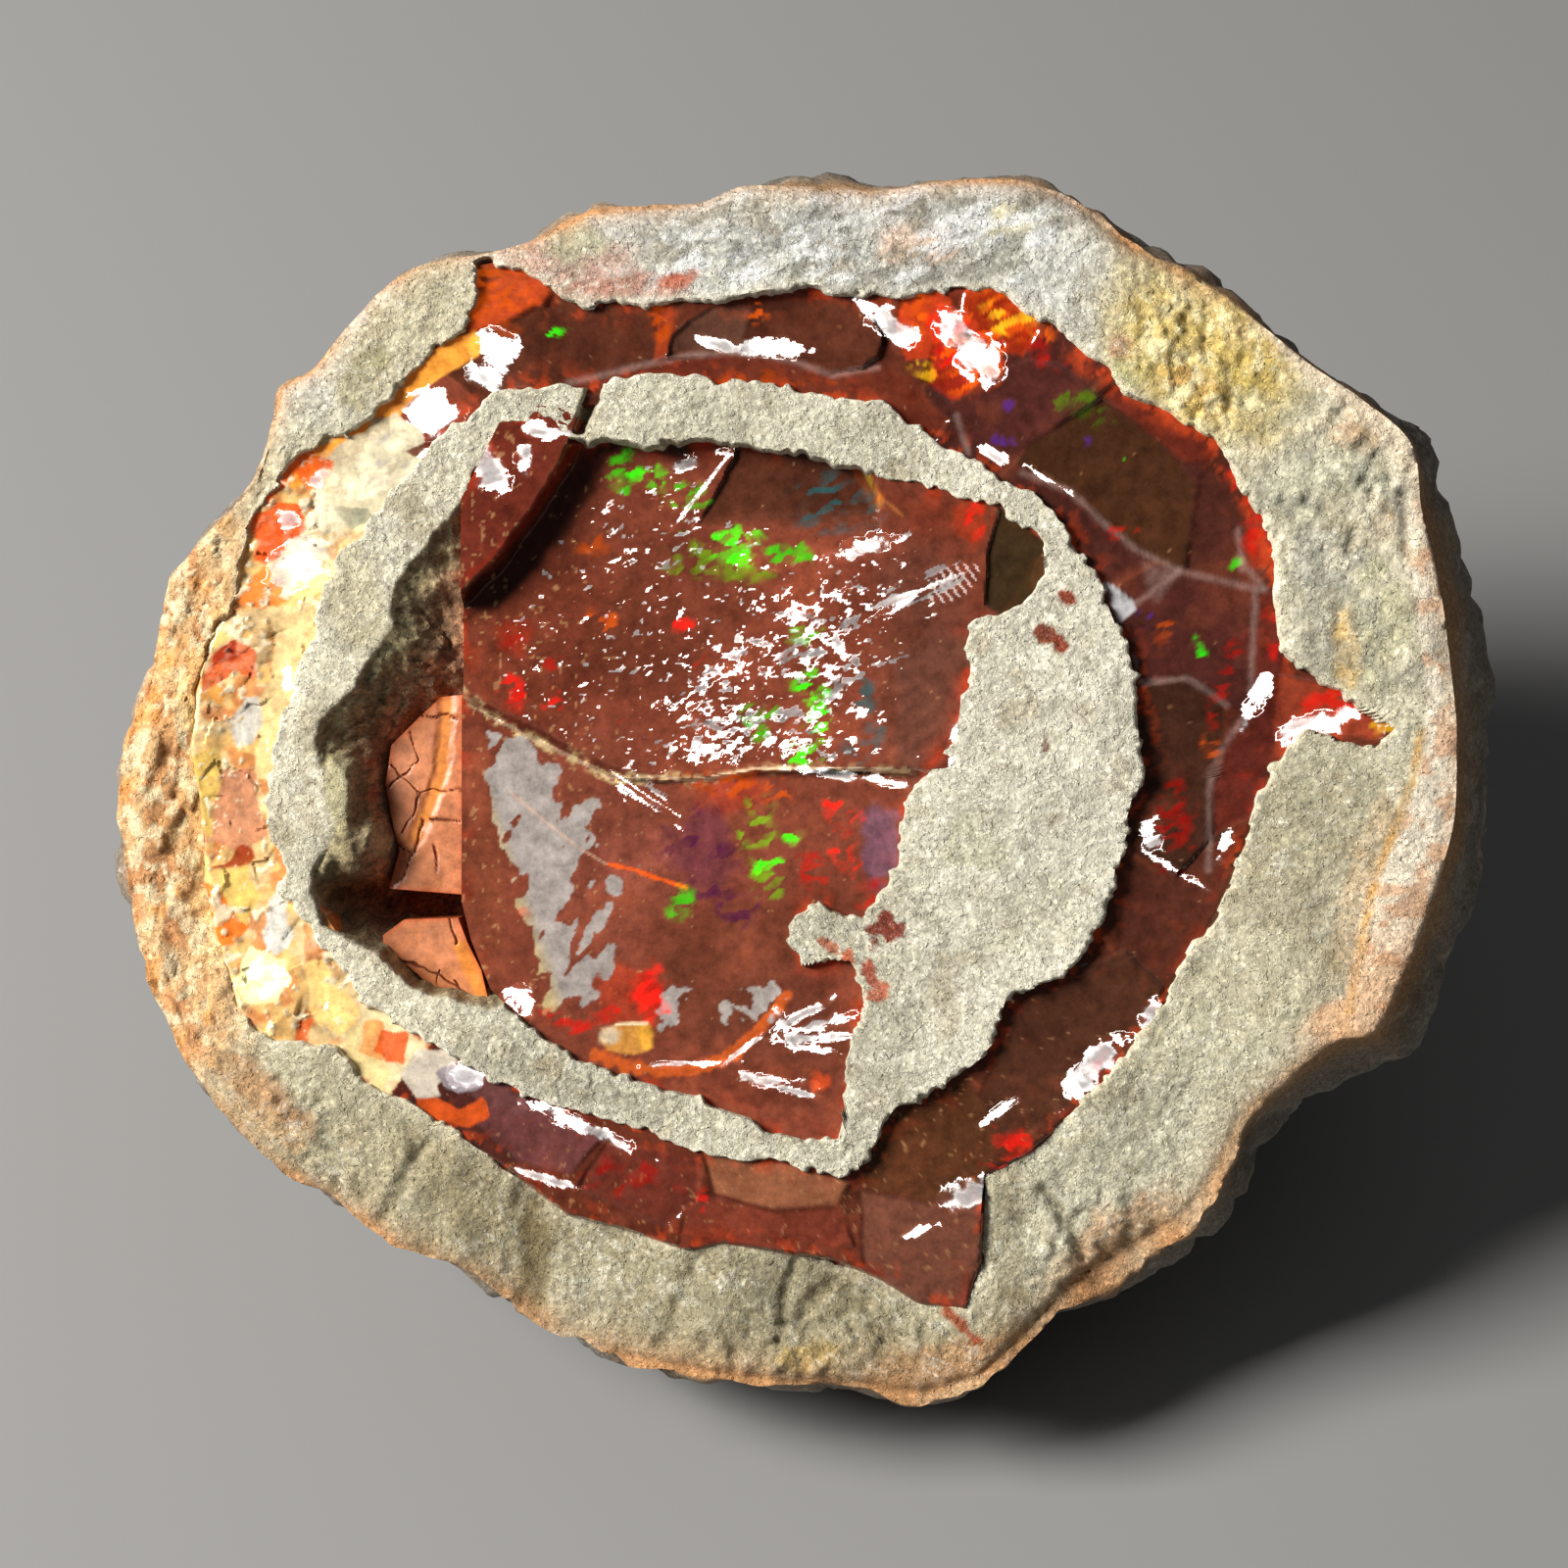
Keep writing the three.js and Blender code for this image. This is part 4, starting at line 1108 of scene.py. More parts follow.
# Patches that mirror the light: where, how large, and which way they lie.
RING_SHINES = [
    ((-25.7, 11.2), (1.3, 1.1), 20, 2.4), ((-17.3, -14.9), (0.7, 0.5), -20, 1.0),
    ((-27.4, -9.9), (0.8, 0.6), 0, 1.0), ((-21.6, 17), (1.1, 0.6), 45, 0.6),
    ((-26.4, 5.4), (0.25, 0.6), 5, 1.0), ((-24.6, 15.6), (0.5, 0.4), 0, 0.6),
    ((-26.4, 13.6), (0.4, 0.4), 0, 0.6), ((-22.4, 15.2), (0.8, 0.4), 30, 0.6),
    ((-15.7, 21.6), (1.3, 1.1), -40, 2.6), ((-19.2, 19), (1.2, 1.1), 30, 1.8),
    ((-1.7, 22.3), (1.6, 0.4), 0, 2.4), ((-4.2, 22.4), (0.9, 0.25), -15, 2.0),
    ((3.0, 24.6), (1.5, 0.3), -32, 1.2), ((4.6, 23.2), (1.0, 0.8), -30, 1.0),
    ((7.6, 23.2), (0.9, 0.7), -40, 0.8), ((9.0, 21.8), (1.1, 0.9), -40, 1.0),
    ((12.3, 15.7), (1.0, 0.14), -32, 1.4), ((9.8, 16.8), (0.6, 0.28), -30, 1.4),
    ((23.1, 4.2), (0.35, 1.2), -28, 2.0), ((26.2, 3.0), (1.4, 0.5), 16, 2.4),
    ((17.7, -2.5), (0.5, 0.8), 24, 0.8), ((19.2, -4.5), (1.7, 0.13), -30, 0.6),
    ((21.5, -3.1), (0.25, 0.7), -20, 0.6), ((14.7, -14.6), (0.5, 2.0), -42, 1.2),
    ((17.9, -11.7), (0.4, 0.7), -20, 1.0), ((8.7, -21), (1.0, 0.7), 10, 1.6),
    ((-11.4, -17.4), (2.4, 0.32), -24, 0.8), ((-13, -20.2), (1.6, 0.18), -16, 0.6),
    ((-17.8, 14.8), (0.5, 0.5), 0, 0.8), ((-20.2, 16.1), (1.1, 0.25), 40, 0.8),
    ((6.1, -22.8), (0.7, 0.2), 20, 1.0), ((10, -16.7), (0.9, 0.2), 35, 1.0),
]

# Play of colour in the ring: the look, where, how large, how strong and which way it lies.
RING_FIRE = [
    (GREEN, (-12.9, 23.1), (0.8, 0.22), 0.9, 8), (GREEN, (20.25, 7), (0.25, 0.6), 0.5, 20),
    (GREEN, (22.1, 11.2), (0.3, 0.3), 0.5, 0), (GREEN, (16.6, 16.3), (0.3, 0.3), 0.5, 0),
    (VIOLET, (10.5, 19.4), (0.3, 0.25), 0.5, 0), (VIOLET, (10.5, 17.4), (0.35, 0.25), 0.5, 0),
    (VIOLET, (9.9, 17.6), (0.3, 0.25), 0.4, 0), (VIOLET, (14.5, 17.6), (0.3, 0.25), 0.5, 0),
    (VIOLET, (17.4, 8.5), (0.3, 0.4), 0.5, 0), (LIME, (14.2, 19.3), (1.4, 0.9), 0.03, -35),
    (FIRE, (20.9, 2.0), (0.4, 0.6), 0.6, 0), (RED, (16.1, 12.8), (0.7, 0.3), 0.25, 0),
    (RED, (10.6, -18.7), (0.9, 0.9), 0.5, 0), (RED, (24.2, 8), (0.5, 1.2), 0.3, 0),
    (RED, (23.5, 13), (0.9, 1.5), 0.3, 0), (RED, (21.5, 5), (0.5, 2), 0.12, -20),
    (RED, (19, -2), (1, 2), 0.03, 0), (FIRE, (18.3, 8), (0.5, 0.9), 0.25, 0),
    (YELLOW, (10.6, 24), (1.3, 1.0), 1.0, -20), (FIRE, (10.4, 23.6), (1.8, 1.7), 0.9, -30),
    (FIRE, (5.6, 23.9), (0.9, 1.3), 0.6, 0), (YELLOW, (6.0, 21.2), (0.8, 0.4), 0.6, -20),
    (FIRE, (8.4, 21.3), (1.5, 1.1), 0.6, -30), (RED, (7.6, 22.7), (1.2, 1.4), 0.5, 0),
    (FIRE, (-15.6, 24.7), (1.7, 1.4), 0.35, 20), (FIRE, (-2.5, 23.9), (0.6, 0.5), 0.5, 0),
    (FIRE, (-4, 20.4), (4, 0.5), 0.08, 0), (FIRE, (-7.4, 23.6), (0.4, 1.2), 0.2, 10),
    (RED, (27.5, 4.2), (1.8, 0.7), 0.4, 10), (YELLOW, (29.6, 2.8), (0.9, 0.4), 0.4, 0),
    (RED, (12, 22.2), (1.3, 0.6), 0.2, -35), (RED, (22.6, 15.6), (1.0, 0.8), 0.3, -45),
    (RED, (23.4, -1.4), (0.5, 1.6), 0.25, 25), (RED, (-5.3, -21.3), (0.3, 0.6), 0.5, -15),
    (RED, (-9, -20.3), (2.4, 0.8), 0.03, 0), (RED, (15.6, -15), (1, 1), 0.2, 40),
]

# Fracture lines that show pale on the ring.
RING_LINES = [
    [(-12, 20.5), (-8.3, 21.4), (-6, 21.9), (-3.4, 22.1), (-1.8, 21.9), (-0.1, 21.5), (1.4, 20.9),
     (3.8, 21.3)],
    [(11.2, 15.9), (13.6, 15), (15.3, 13.4), (17, 12), (19.2, 10.9)], [(19.2, 10.9), (15.8, 8.3)],
    [(19.2, 10.9), (23.4, 9.9)], [(23.1, 9.8), (22.9, 6), (22.9, 4.8)],
    [(22.3, 3.2), (21.3, 1.6), (20.8, 0), (20.7, -4.4)], [(17.4, 5.2), (19.6, 5.4), (20.6, 4.8), (21.6, 4)],
    [(7.8, 18.8), (8.4, 16.9)], [(22.2, 13), (22.4, 11)], [(22.4, 11.4), (23.6, 9.9)],
]

# Marks on the ring: the red crumbs along its upper right border, and, beside the inner rock, a painted
# hazy sheen and a chip painted grey-white as a glint.
RED_CRUMB_LINE = [
    (14.6, 21.7), (16.2, 20.8), (17.8, 19.9), (19.6, 18.7), (21.4, 17.2), (22.7, 15.6), (23.7, 13.4),
    (24, 11.4),
]
HAZY_SHEEN = [(17.3, 11.3), (19.4, 10.9), (18.1, 9.2)]
GLINT_CHIP = [(15, 10.3), (15.9, 10.2), (16.9, 9.3), (16.9, 8.9), (16.2, 8.3), (15.9, 8.9), (15.6, 9.8)]


def scoop_height(points, facet):
    a, b = along_and_across(points - np.asarray(facet["at"], float), facet["turn"])
    along, cross = facet["curve"]
    return facet["low"] + along * a * a + cross * b * b


def ring_scoops(points):
    """The ring's height and paint without its zones: the lowest of its scoops at each point."""
    bent = points + 0.3 * np.column_stack([noise(points, 1.8, 81), noise(points, 1.8, 82)])
    levels = np.stack([scoop_height(bent, facet) for facet in RING_FACETS])
    which = levels.argmin(axis=0)
    lowest, second = np.sort(levels, axis=0)[:2]
    paint = Paint(len(points), CHOCOLATE, 0.07)
    paint.colour = np.array([facet["look"] for facet in RING_FACETS])[which]
    paint.finish = np.array([facet["finish"] for facet in RING_FACETS])[which]
    paint.cover(np.exp(-(second - lowest) / 0.05) * 0.3, tint(170, 90, 60))
    return ZONE_DEPTH * lowest, paint


def lay_zones(points, zones, height, paint, seed):
    """Puts each outlined facet on a surface, the later ones over the earlier ones."""
    for number, each in enumerate(zones):
        share = area(points, each["outline"], soft=0.12, seed=seed + number)
        across = points - np.mean(each["outline"], axis=0)
        level = ZONE_DEPTH * each["level"] + across @ np.asarray(each["slope"], float) * 0.4
        level = level + each["curve"] * (across**2).sum(-1)
        height = mix(height, level, share)
        paint.cover(share, each["look"], glow=each["glow"], finish=each["finish"])
    return height


def opal_ring(points):
    """The height and the paint of the ring's broken surface."""
    u, v = points[:, 0], points[:, 1]
    height, paint = ring_scoops(points)
    height = lay_zones(points, RING_ZONES, height, paint, 301)
    altered = smoothstep(-u - 0.35 * np.abs(v), 17.5, 20.5)
    crumbs = altered_crumbs(points)
    flakes = 0.16 * chipped(points, 1.3, 0.6, 0.8, 89) + 0.16 * layered(points, 2.2, 3, 90)
    height = height + altered * flakes
    height = height + altered * 0.07 * crumbs
    height = height + 0.03 * layered(points, 1.0, 2, 83)
    paint_ring(points, paint, altered, crumbs)
    lay_shines(points, paint, RING_SHINES, 401)
    rock = outer_rock_height(points, inside_by(points, RIM)) - 0.05
    height = mix(height, np.minimum(height, rock), smoothstep(u, 13, 15))
    return below_neighbours(points, height), paint


def below_neighbours(points, height):
    """Sinks the ring under the rock on either side of it."""
    rock = outer_rock_height(points, inside_by(points, RIM)) - 0.45
    past_rock = -inside_by(points, RING_OUTSIDE)
    past_inner = inside_by(points, INNER_OUTSIDE)
    height = mix(height, np.minimum(height, rock), smoothstep(past_rock, -0.1, 0.4))
    height = mix(height, np.minimum(height, -0.3), smoothstep(past_inner, -0.1, 0.4))
    past = [drop(over - RING_OVERLAP, depth=3.0) for over in (past_rock, past_inner)]
    return height - past[0] - past[1]


def altered_crumbs(points):
    """Where the weathered opal is buried under cream-coloured crumbs."""
    more = 0.24 * smoothstep(points[:, 1], 10, 14) - 0.12 * smoothstep(-points[:, 1], 3, 9)
    return smoothstep(layered(points, 0.4, 3, 543) + 0.5 * layered(points, 2.4, 2, 544) + more, 0.26, 0.36)


def paint_ring(points, paint, altered, crumbs):
    """The clouds, warm edges, fracture lines and chips of the glassy opal, and then the weathered opal."""
    glassy = 1 - altered
    cloud = layered(points + 0.6 * noise(points, 1.2, 84)[:, None], 3.2, 4, 85)
    paint.shade(1 + 0.3 * cloud)
    paint.cover(smoothstep(cloud, 0.25, 0.7) * 0.3 * glassy, tint(126, 62, 40))
    paint_ring_edges(points, paint, glassy)
    for line in RING_LINES:
        paint.cover(stroke(points, line, 0.14, soft=1.2, ragged=0.5, seed=91) * 0.32, tint(182, 150, 140))
    red_crumbs = stroke(points, RED_CRUMB_LINE, 0.8, soft=0.6, seed=96)
    red_crumbs = red_crumbs * blotches(points, 0.7, 4, 97, -0.05, 0.15)
    paint.cover(red_crumbs * 0.8, tint(186, 66, 32), glow=HOT_ORANGE * 0.035, finish=0.2)
    # A painted hazy sheen.
    paint.cover(area(points, HAZY_SHEEN, ragged=0.3, soft=0.3, seed=94) * 0.45, tint(150, 116, 106))
    # A chip painted pale grey and smoother, as a painted glint.
    paint.cover(area(points, GLINT_CHIP, seed=95) * 0.9, tint(206, 204, 206), finish=0.25)
    # Small pale specks towards the lower left: gold dust, and painted glints of tiny grains.
    dust_and_glint_amount = smoothstep(-points[:, 1] - 0.4 * points[:, 0], 0, 14) * 0.35
    paint.cover(specks(points, 0.26, dust_and_glint_amount, 93) * glassy * 0.4, tint(186, 136, 92))
    paint_altered(points, paint, altered, crumbs)
    lay_fire(points, paint, RING_FIRE, 501, 0.45)


def paint_ring_edges(points, paint, glassy):
    """The thin edges of the ring, which the light shines through."""
    outer = np.abs(inside_by(points, RING_OUTSIDE))
    inner = np.abs(inside_by(points, INNER_OUTSIDE))
    for border, seed, amount in ((outer, 87, 0.75), (inner, 88, 0.5)):
        warm = smoothstep(-border, -0.9, -0.1) * blotches(points, 1.3, 3, seed, 0.05, 0.35) * glassy
        paint.cover(warm * amount * 0.7, tint(132, 46, 28), glow=BRIGHT_RED * 0.01)
    fire = blotches(points, 0.6, 3, 86, 0.2, 0.3) * np.exp(-np.minimum(outer, inner) / 0.5) * glassy
    paint.cover(fire * 0.75, tint(190, 66, 28), glow=HOT_ORANGE * 0.03)


def patch(colour, outline, glow=0.0, finish=0.15):
    """An outlined patch of the weathered opal."""
    look = tint(*colour)
    return {"look": look, "outline": outline, "glow": look * glow, "finish": finish}


# The weathered opal at the left, from the amber band at the top down to the bluish haze.
ALTERED_PATCHES = [
    patch((206, 194, 160), [(-24.8, 16.4), (-23.2, 17.3), (-20.8, 19.2), (-19.2, 17.8), (-19, 16),
          (-20.8, 14.6), (-23.2, 13), (-25, 12.6)], finish=0.8),
    patch((116, 52, 38), [(-20.4, 17), (-19.4, 17.6), (-18, 17.6), (-18.2, 16.7), (-19.4, 16.5)],
          finish=0.07),
    patch((164, 162, 136), [(-23.8, 14), (-22.2, 14.2), (-21.8, 13.4), (-23.2, 12.9)]),
    patch((228, 88, 28), [(-26.8, 17), (-25.2, 17), (-24.2, 16.4), (-24.7, 14.9), (-25.4, 15.2), (-26, 16),
          (-26.6, 15.4), (-27.2, 14.4), (-28.1, 14), (-27.7, 15.4)], 0.14),
    patch((226, 78, 22), [(-28.4, 13.7), (-27.2, 14.4), (-25.7, 14.2), (-25.4, 13), (-26.3, 12.1),
          (-27.3, 11.1), (-28.3, 11.3), (-28, 12.4)], 0.14, 0.08),
    patch((232, 124, 50), [(-29.6, 9.6), (-28, 10.8), (-27, 11.4), (-25.6, 10.4), (-26.4, 9.4), (-27.6, 9),
          (-28.8, 9)], 0.12),
    patch((252, 214, 140), [(-27.2, 10.8), (-26.2, 12), (-24.6, 11.6), (-24.2, 10), (-26, 9.4)], 0.12, 0.1),
    patch((232, 200, 140), [(-27.4, 9.1), (-25, 9.3), (-24.7, 8), (-25.2, 6), (-26, 4.4), (-27, 2),
          (-27.4, 0), (-28, 0.4), (-27.9, 2.4), (-27.5, 4.4), (-27.3, 6), (-27.1, 7.6)], 0.08, 0.1),
    patch((226, 196, 116), [(-31.1, 8), (-30, 8.8), (-29.2, 7.8), (-30, 6.9), (-31, 6.9)], 0.05, 0.2),
    patch((208, 84, 42), [(-29.9, 7.2), (-29, 7.6), (-28, 6.7), (-27.9, 5.4), (-29, 5.8), (-29.6, 5.4),
          (-30.8, 4.6), (-31.1, 5.2), (-30.4, 6.2)], 0.06, 0.08),
    patch((160, 46, 24), [(-29.8, 7.1), (-29.2, 7.3), (-29.3, 6.5), (-30.3, 5.9)], 0.02, 0.08),
    patch((234, 156, 66), [(-30.8, 4.5), (-29.6, 5.5), (-29.1, 4.9), (-29.8, 3.8)], 0.08),
    patch((218, 214, 202), [(-29.4, 3), (-28.7, 4.7), (-27.8, 4.7), (-27.4, 3), (-28, 1.8), (-29.1, 1.8)], 0,
          0.5),
    patch((226, 186, 96), [(-31.4, 1.2), (-30, 1.8), (-29.8, -1), (-30.2, -3), (-31.2, -2.2)], 0.04, 0.3),
    patch((208, 138, 102), [(-30.5, -2.9), (-29.6, 0.8), (-28.1, 0.4), (-27.5, -2.5), (-28.7, -3.6),
          (-29.8, -3.4)], 0.03, 0.25),
    patch((190, 72, 34), [(-30.2, -4.3), (-28.8, -3.4), (-28.1, -3.8), (-28.5, -4.5)], 0.04),
    patch((252, 208, 112), [(-30, -4.4), (-28.4, -4), (-28.1, -5.8), (-28.6, -7), (-29.6, -6.2)], 0.14),
    patch((242, 118, 30), [(-30.7, -5), (-29.8, -5.4), (-29.4, -6.5), (-28.4, -7.3), (-29.2, -8.2),
          (-30.6, -8)], 0.16),
    patch((220, 218, 208), [(-27.4, -5.8), (-26.8, -5.2), (-26.2, -6.7), (-26.4, -8.4), (-27.2, -9),
          (-27.6, -7.6)], 0, 0.55),
    patch((255, 238, 172), [(-29.3, -10.2), (-28.3, -8.3), (-26.5, -9), (-26, -10.2), (-26.8, -11.2),
          (-28.7, -11.4)], 0.2, 0.1),
    patch((246, 200, 122), [(-25.5, -9.3), (-24.6, -8.8), (-22.7, -12), (-23.7, -12.9), (-25, -12.2),
          (-25.5, -11.1)], 0.1),
    patch((212, 92, 38), [(-26.2, -13.3), (-25.9, -12.1), (-25.3, -12.1), (-25.6, -13.5)], 0.06),
    patch((244, 216, 150), [(-23.7, -12.8), (-22.4, -12.1), (-22.8, -13.7), (-21, -14.6), (-21.5, -15.8),
          (-22.8, -14.8)], 0.05, 0.2),
    patch((238, 156, 84), [(-22.9, -13.8), (-22.4, -12.3), (-21.4, -12.1), (-21.6, -14)], 0.08),
    patch((228, 88, 26), [(-21.9, -13.6), (-21.6, -12.6), (-20, -12.6), (-20.5, -14.3), (-21.4, -14.3)],
          0.14),
    patch((224, 210, 190), [(-20.4, -14.9), (-19.5, -13.6), (-18.4, -13.5), (-17.6, -14.2), (-18.3, -15),
          (-18.6, -15.9), (-19.6, -16)], 0, 0.3),
    patch((112, 68, 66), [(-17, -14.6), (-15.6, -15), (-14.4, -16), (-14.2, -16.9), (-15.8, -16.6),
          (-17.1, -15.8)], 0, 0.1),
    patch((176, 164, 170), [(-18.8, -14.8), (-17.8, -14.1), (-16.7, -14.6), (-16.6, -15.4), (-17.7, -15.8),
          (-18.5, -15.5)], 0, 0.1),
    patch((220, 88, 32), [(-19.8, -16.7), (-19.9, -15.9), (-18.8, -16.1), (-18.5, -16.4), (-16.2, -16.3),
          (-16, -17), (-17.5, -17.7), (-18.6, -17.3)], 0.1),
]

# The line of the amber band, from the tongue down to the left.
AMBER_BAND = [
    (-17.1, 22.4), (-18.8, 21.5), (-20.3, 20.3), (-21.9, 18.5), (-23.5, 17.0), (-25.1, 16.3), (-26.5, 15.8),
]


def paint_altered(points, paint, altered, crumbs):
    """The cream and orange weathered opal at the left."""
    paint.cover(altered, tint(222, 188, 134), finish=0.3)
    cloud = layered(points, 1.9, 4, 541)
    clear = smoothstep(cloud, -0.1, 0.15) * altered
    paint.cover(clear * 0.75, tint(242, 190, 112), glow=HOT_ORANGE * 0.03, finish=0.12)
    paint.cover(blotches(points, 1.2, 3, 542, 0.1, 0.35) * altered * 0.75, tint(206, 120, 64))
    band = stroke(points, AMBER_BAND, 0.7, soft=0.15, seed=545)
    paint.cover(band, tint(242, 160, 62), glow=HOT_ORANGE * 0.1, finish=0.1)
    border, clean = lay_patches(points, paint, cloud)
    crumbly = np.maximum(crumbs, smoothstep(border + 0.7 * layered(points, 0.35, 2, 546), 0.5, 0.6)) * altered
    crumbly = crumbly * (1 - 0.85 * smoothstep(clean, 0.2, 0.7))
    look = mix(tint(238, 222, 186), tint(196, 160, 112), blotches(points, 0.8, 2, 547, 0, 0.4)[:, None])
    paint.cover(crumbly * 0.85, look, glow=BLACK, finish=0.7)
    paint.facing = paint.facing * (1 - crumbly)[:, None]


def lay_patches(points, paint, cloud):
    """Paints the patches of weathered opal, lighter in their middles as painted shading, and says where their
    borders and their clean parts are.
    """
    border = np.zeros(len(points))
    clean = np.zeros(len(points))
    for number, each in enumerate(ALTERED_PATCHES):
        share = area(points, each["outline"], ragged=0.45, soft=0.05, seed=551 + number)
        inner = area(points, each["outline"], ragged=0.6, soft=0.7, seed=551 + number)
        # Each patch painted lighter towards its middle and darker at its border: painted shading of its form.
        depth = (0.78 + 0.3 * inner + 0.3 * cloud)[:, None]
        paint.cover(share * 0.9, (each["look"] * depth).clip(0, 1), each["glow"], each["finish"])
        tilt = wobble(np.array([(0.137 * number + 0.31) % 1]), 0.4)
        paint.face(share * 0.6, np.tile(tilt, (len(points), 1)))
        border = np.maximum(border, share * (1 - inner) * 0.5)
        clean = np.maximum(clean, inner * (each["finish"] < 0.12))
    return border, clean


def build_ring(material):
    angles, way = ways_round(RING_COLUMNS)
    inner = edge_loop(INNER_OUTSIDE, BOWL_CENTRE, RING_COLUMNS, np.min, -RING_OVERLAP)
    outer_reach = reach(RING_OUTSIDE, BOWL_CENTRE, angles, np.max) + RING_OVERLAP
    past_rim = np.maximum(0, 0.6 - inside_by(BOWL_CENTRE + way * outer_reach[:, None], RIM))
    outer = BOWL_CENTRE + way * (outer_reach - past_rim)[:, None]
    grid = annulus(inner, outer, RING_ROWS)
    return ring_piece("opal_ring_fracture", grid, opal_ring, INNER_ROCK_DEPTH + SEAM, OPAL_RING_DEPTH,
                      material, 40)


# The inner rock, with the pit's wall and floor

PIT_SHALLOWS = 3.0  # how deep the pit's upper end is
LEDGE_DEPTH = 2.4  # how deep the brown ledge at its left is

# Lumps of rock that stand in the pit: where, how wide and how high above its floor.
PIT_LUMPS = [
    ((-23.7, -0.4), (0.9, 1.8), 1.6), ((-22.9, -3.7), (1.8, 1.4), 1.5), ((-21.8, -2.8), (0.7, 1.0), 0.9),
]

# Spots on the lumps painted pale as patches of light, and the crack through the rock above the core's
# splinter, painted dark brown as the shade in it.
LIT_SPOTS = [((-23.8, -0.3), (0.8, 1.7), 0), ((-21.8, -2.9), (0.5, 0.9), 10)]
SPLINTER_CRACK = [(-10.6, 20.3), (-11, 19.2), (-11.5, 18.2)]


def pit_wall(points, top):
    """The pit's surface: a sloping wall, a rough brown ledge at the left and a deep gap round the blocks."""
    u, v = points[:, 0], points[:, 1]
    into = inside_by(points, PIT) + 0.22 * layered(points, 1.0, 3, 95)
    depth = mix(PIT_DEPTH, PIT_SHALLOWS, smoothstep(v, 3.5, 8.5))
    inwards = u + 0.5 * layered(points, 1.4, 2, 98)
    ledge = (1 - smoothstep(inwards, -22.6, -21.2)) * smoothstep(v, -5.4, -4.4)
    depth = mix(depth, LEDGE_DEPTH, ledge)
    hole = smoothstep(-v, 4.8, 5.8)
    steep = mix(1.5, 0.85, smoothstep(v, 1, 6)) + 3 * hole
    fall = depth * (1 - np.exp(-steep * np.maximum(into, 0) / depth))
    rough = 0.4 * layered(points, 1.7, 4, 97) + 0.35 * chipped(points, 0.8, 0.5, 0.6, 99)
    floor = (rough + 0.3 * chipped(points, 0.5, 0.5, 0.4, 94)) * smoothstep(into, 0, 1.2) - fall
    for at, half, high in PIT_LUMPS:
        near = np.exp(-(((points - np.asarray(at)) / half) ** 2).sum(-1))
        floor = floor + high * near * smoothstep(into, 0, 0.6)
    return mix(top, np.minimum(top, floor), smoothstep(into, 0, 0.3)), into


INNER_FEATURES = [
    feature((188, 184, 152), (8.7, -3), (1.6, 1.3), 0, 0.6),
    feature((196, 190, 160), (11, -7), (3, 2), 30, 0.4),
    feature((226, 220, 198), (10.5, 3), (3.4, 4.5), 0, 0.5),
    feature((226, 212, 170), (-23.5, 10.5), (1.4, 4), 30, 0.5),
    feature((150, 140, 112), (-13, -15), (5, 0.8), -18, 0.35),
]

# Chips of opal that stick in the rock between the ring and the core.
INNER_CHIPS = [
    feature((124, 50, 20), (12.4, 7.7), (0.55, 0.5), -20, 0.97, finish=0.12, soft=0.1),
    feature((140, 54, 22), (13.0, 7.2), (0.5, 0.4), -50, 0.97, finish=0.12, soft=0.1),
    feature((150, 54, 20), (13.5, 9.5), (0.5, 0.35), -40, 0.95, finish=0.12, soft=0.1),
    feature((160, 58, 20), (11.5, 10.1), (0.4, 0.3), 30, 0.9, finish=0.2, ragged=0.6, soft=0.1),
    feature((116, 62, 40), (12.3, 1.9), (0.2, 0.45), 0, 0.8, soft=0.1),
    feature((176, 84, 44), (1.2, -8.2), (0.8, 0.3), -30, 0.8, ragged=0.8, soft=0.1),
    feature((130, 46, 26), (4.3, -7.5), (0.75, 0.9), 0, 0.95, finish=0.1, ragged=0.8, soft=0.1),
    feature((196, 88, 40), (2.2, -8.9), (0.35, 0.5), 0, 0.85, ragged=0.8, soft=0.1),
    feature((164, 62, 32), (3.4, -9.7), (0.35, 0.8), 20, 0.9, finish=0.15, ragged=0.8, soft=0.1),
    feature((190, 80, 38), (3.9, -10.6), (0.5, 0.4), 20, 0.8, ragged=0.8, soft=0.1),
]


def inner_rock(points):
    """The height and the paint of the inner rock and the pit."""
    u, v = points[:, 0], points[:, 1]
    dome = 0.35 * np.exp(-((u - 11) ** 2 / 40 + (v + 1) ** 2 / 130))
    top = 0.05 + dome + 0.08 * np.sin(u / 1.9 + 0.4) * np.sin(v / 2.2) + 0.8 * rock_relief(points, 91)
    top -= 0.9 * stroke(points, SPLINTER_CRACK, 0.35, seed=5)
    height, into = pit_wall(points, top)
    outside = ragged_edge(points, INNER_OUTSIDE, 13)
    core = ragged_edge(points, CORE_OUTSIDE, 17)
    height = height - drop(-outside) - drop(core - 0.15 * smoothstep(into, 0, 0.3), width=0.5)
    paint = Paint(len(points), tint(212, 206, 182), 0.85)
    paint.cover(smoothstep(-u, 15, 19), tint(224, 216, 190))
    paint.cover(smoothstep(u, 4, 8), tint(232, 226, 204))
    paint_features(points, paint, INNER_FEATURES, 651)
    paint_rock(points, paint, 91)
    paint_features(points, paint, INNER_CHIPS, 671)
    # The crack painted dark brown, as the shade in it.
    paint.cover(stroke(points, SPLINTER_CRACK, 0.4, seed=5) * 0.7, BROWN)
    paint.cover(np.exp(-np.abs(outside) / 0.3) * 0.35, tint(240, 234, 212))
    paint_pit(points, paint, into)
    return height, paint


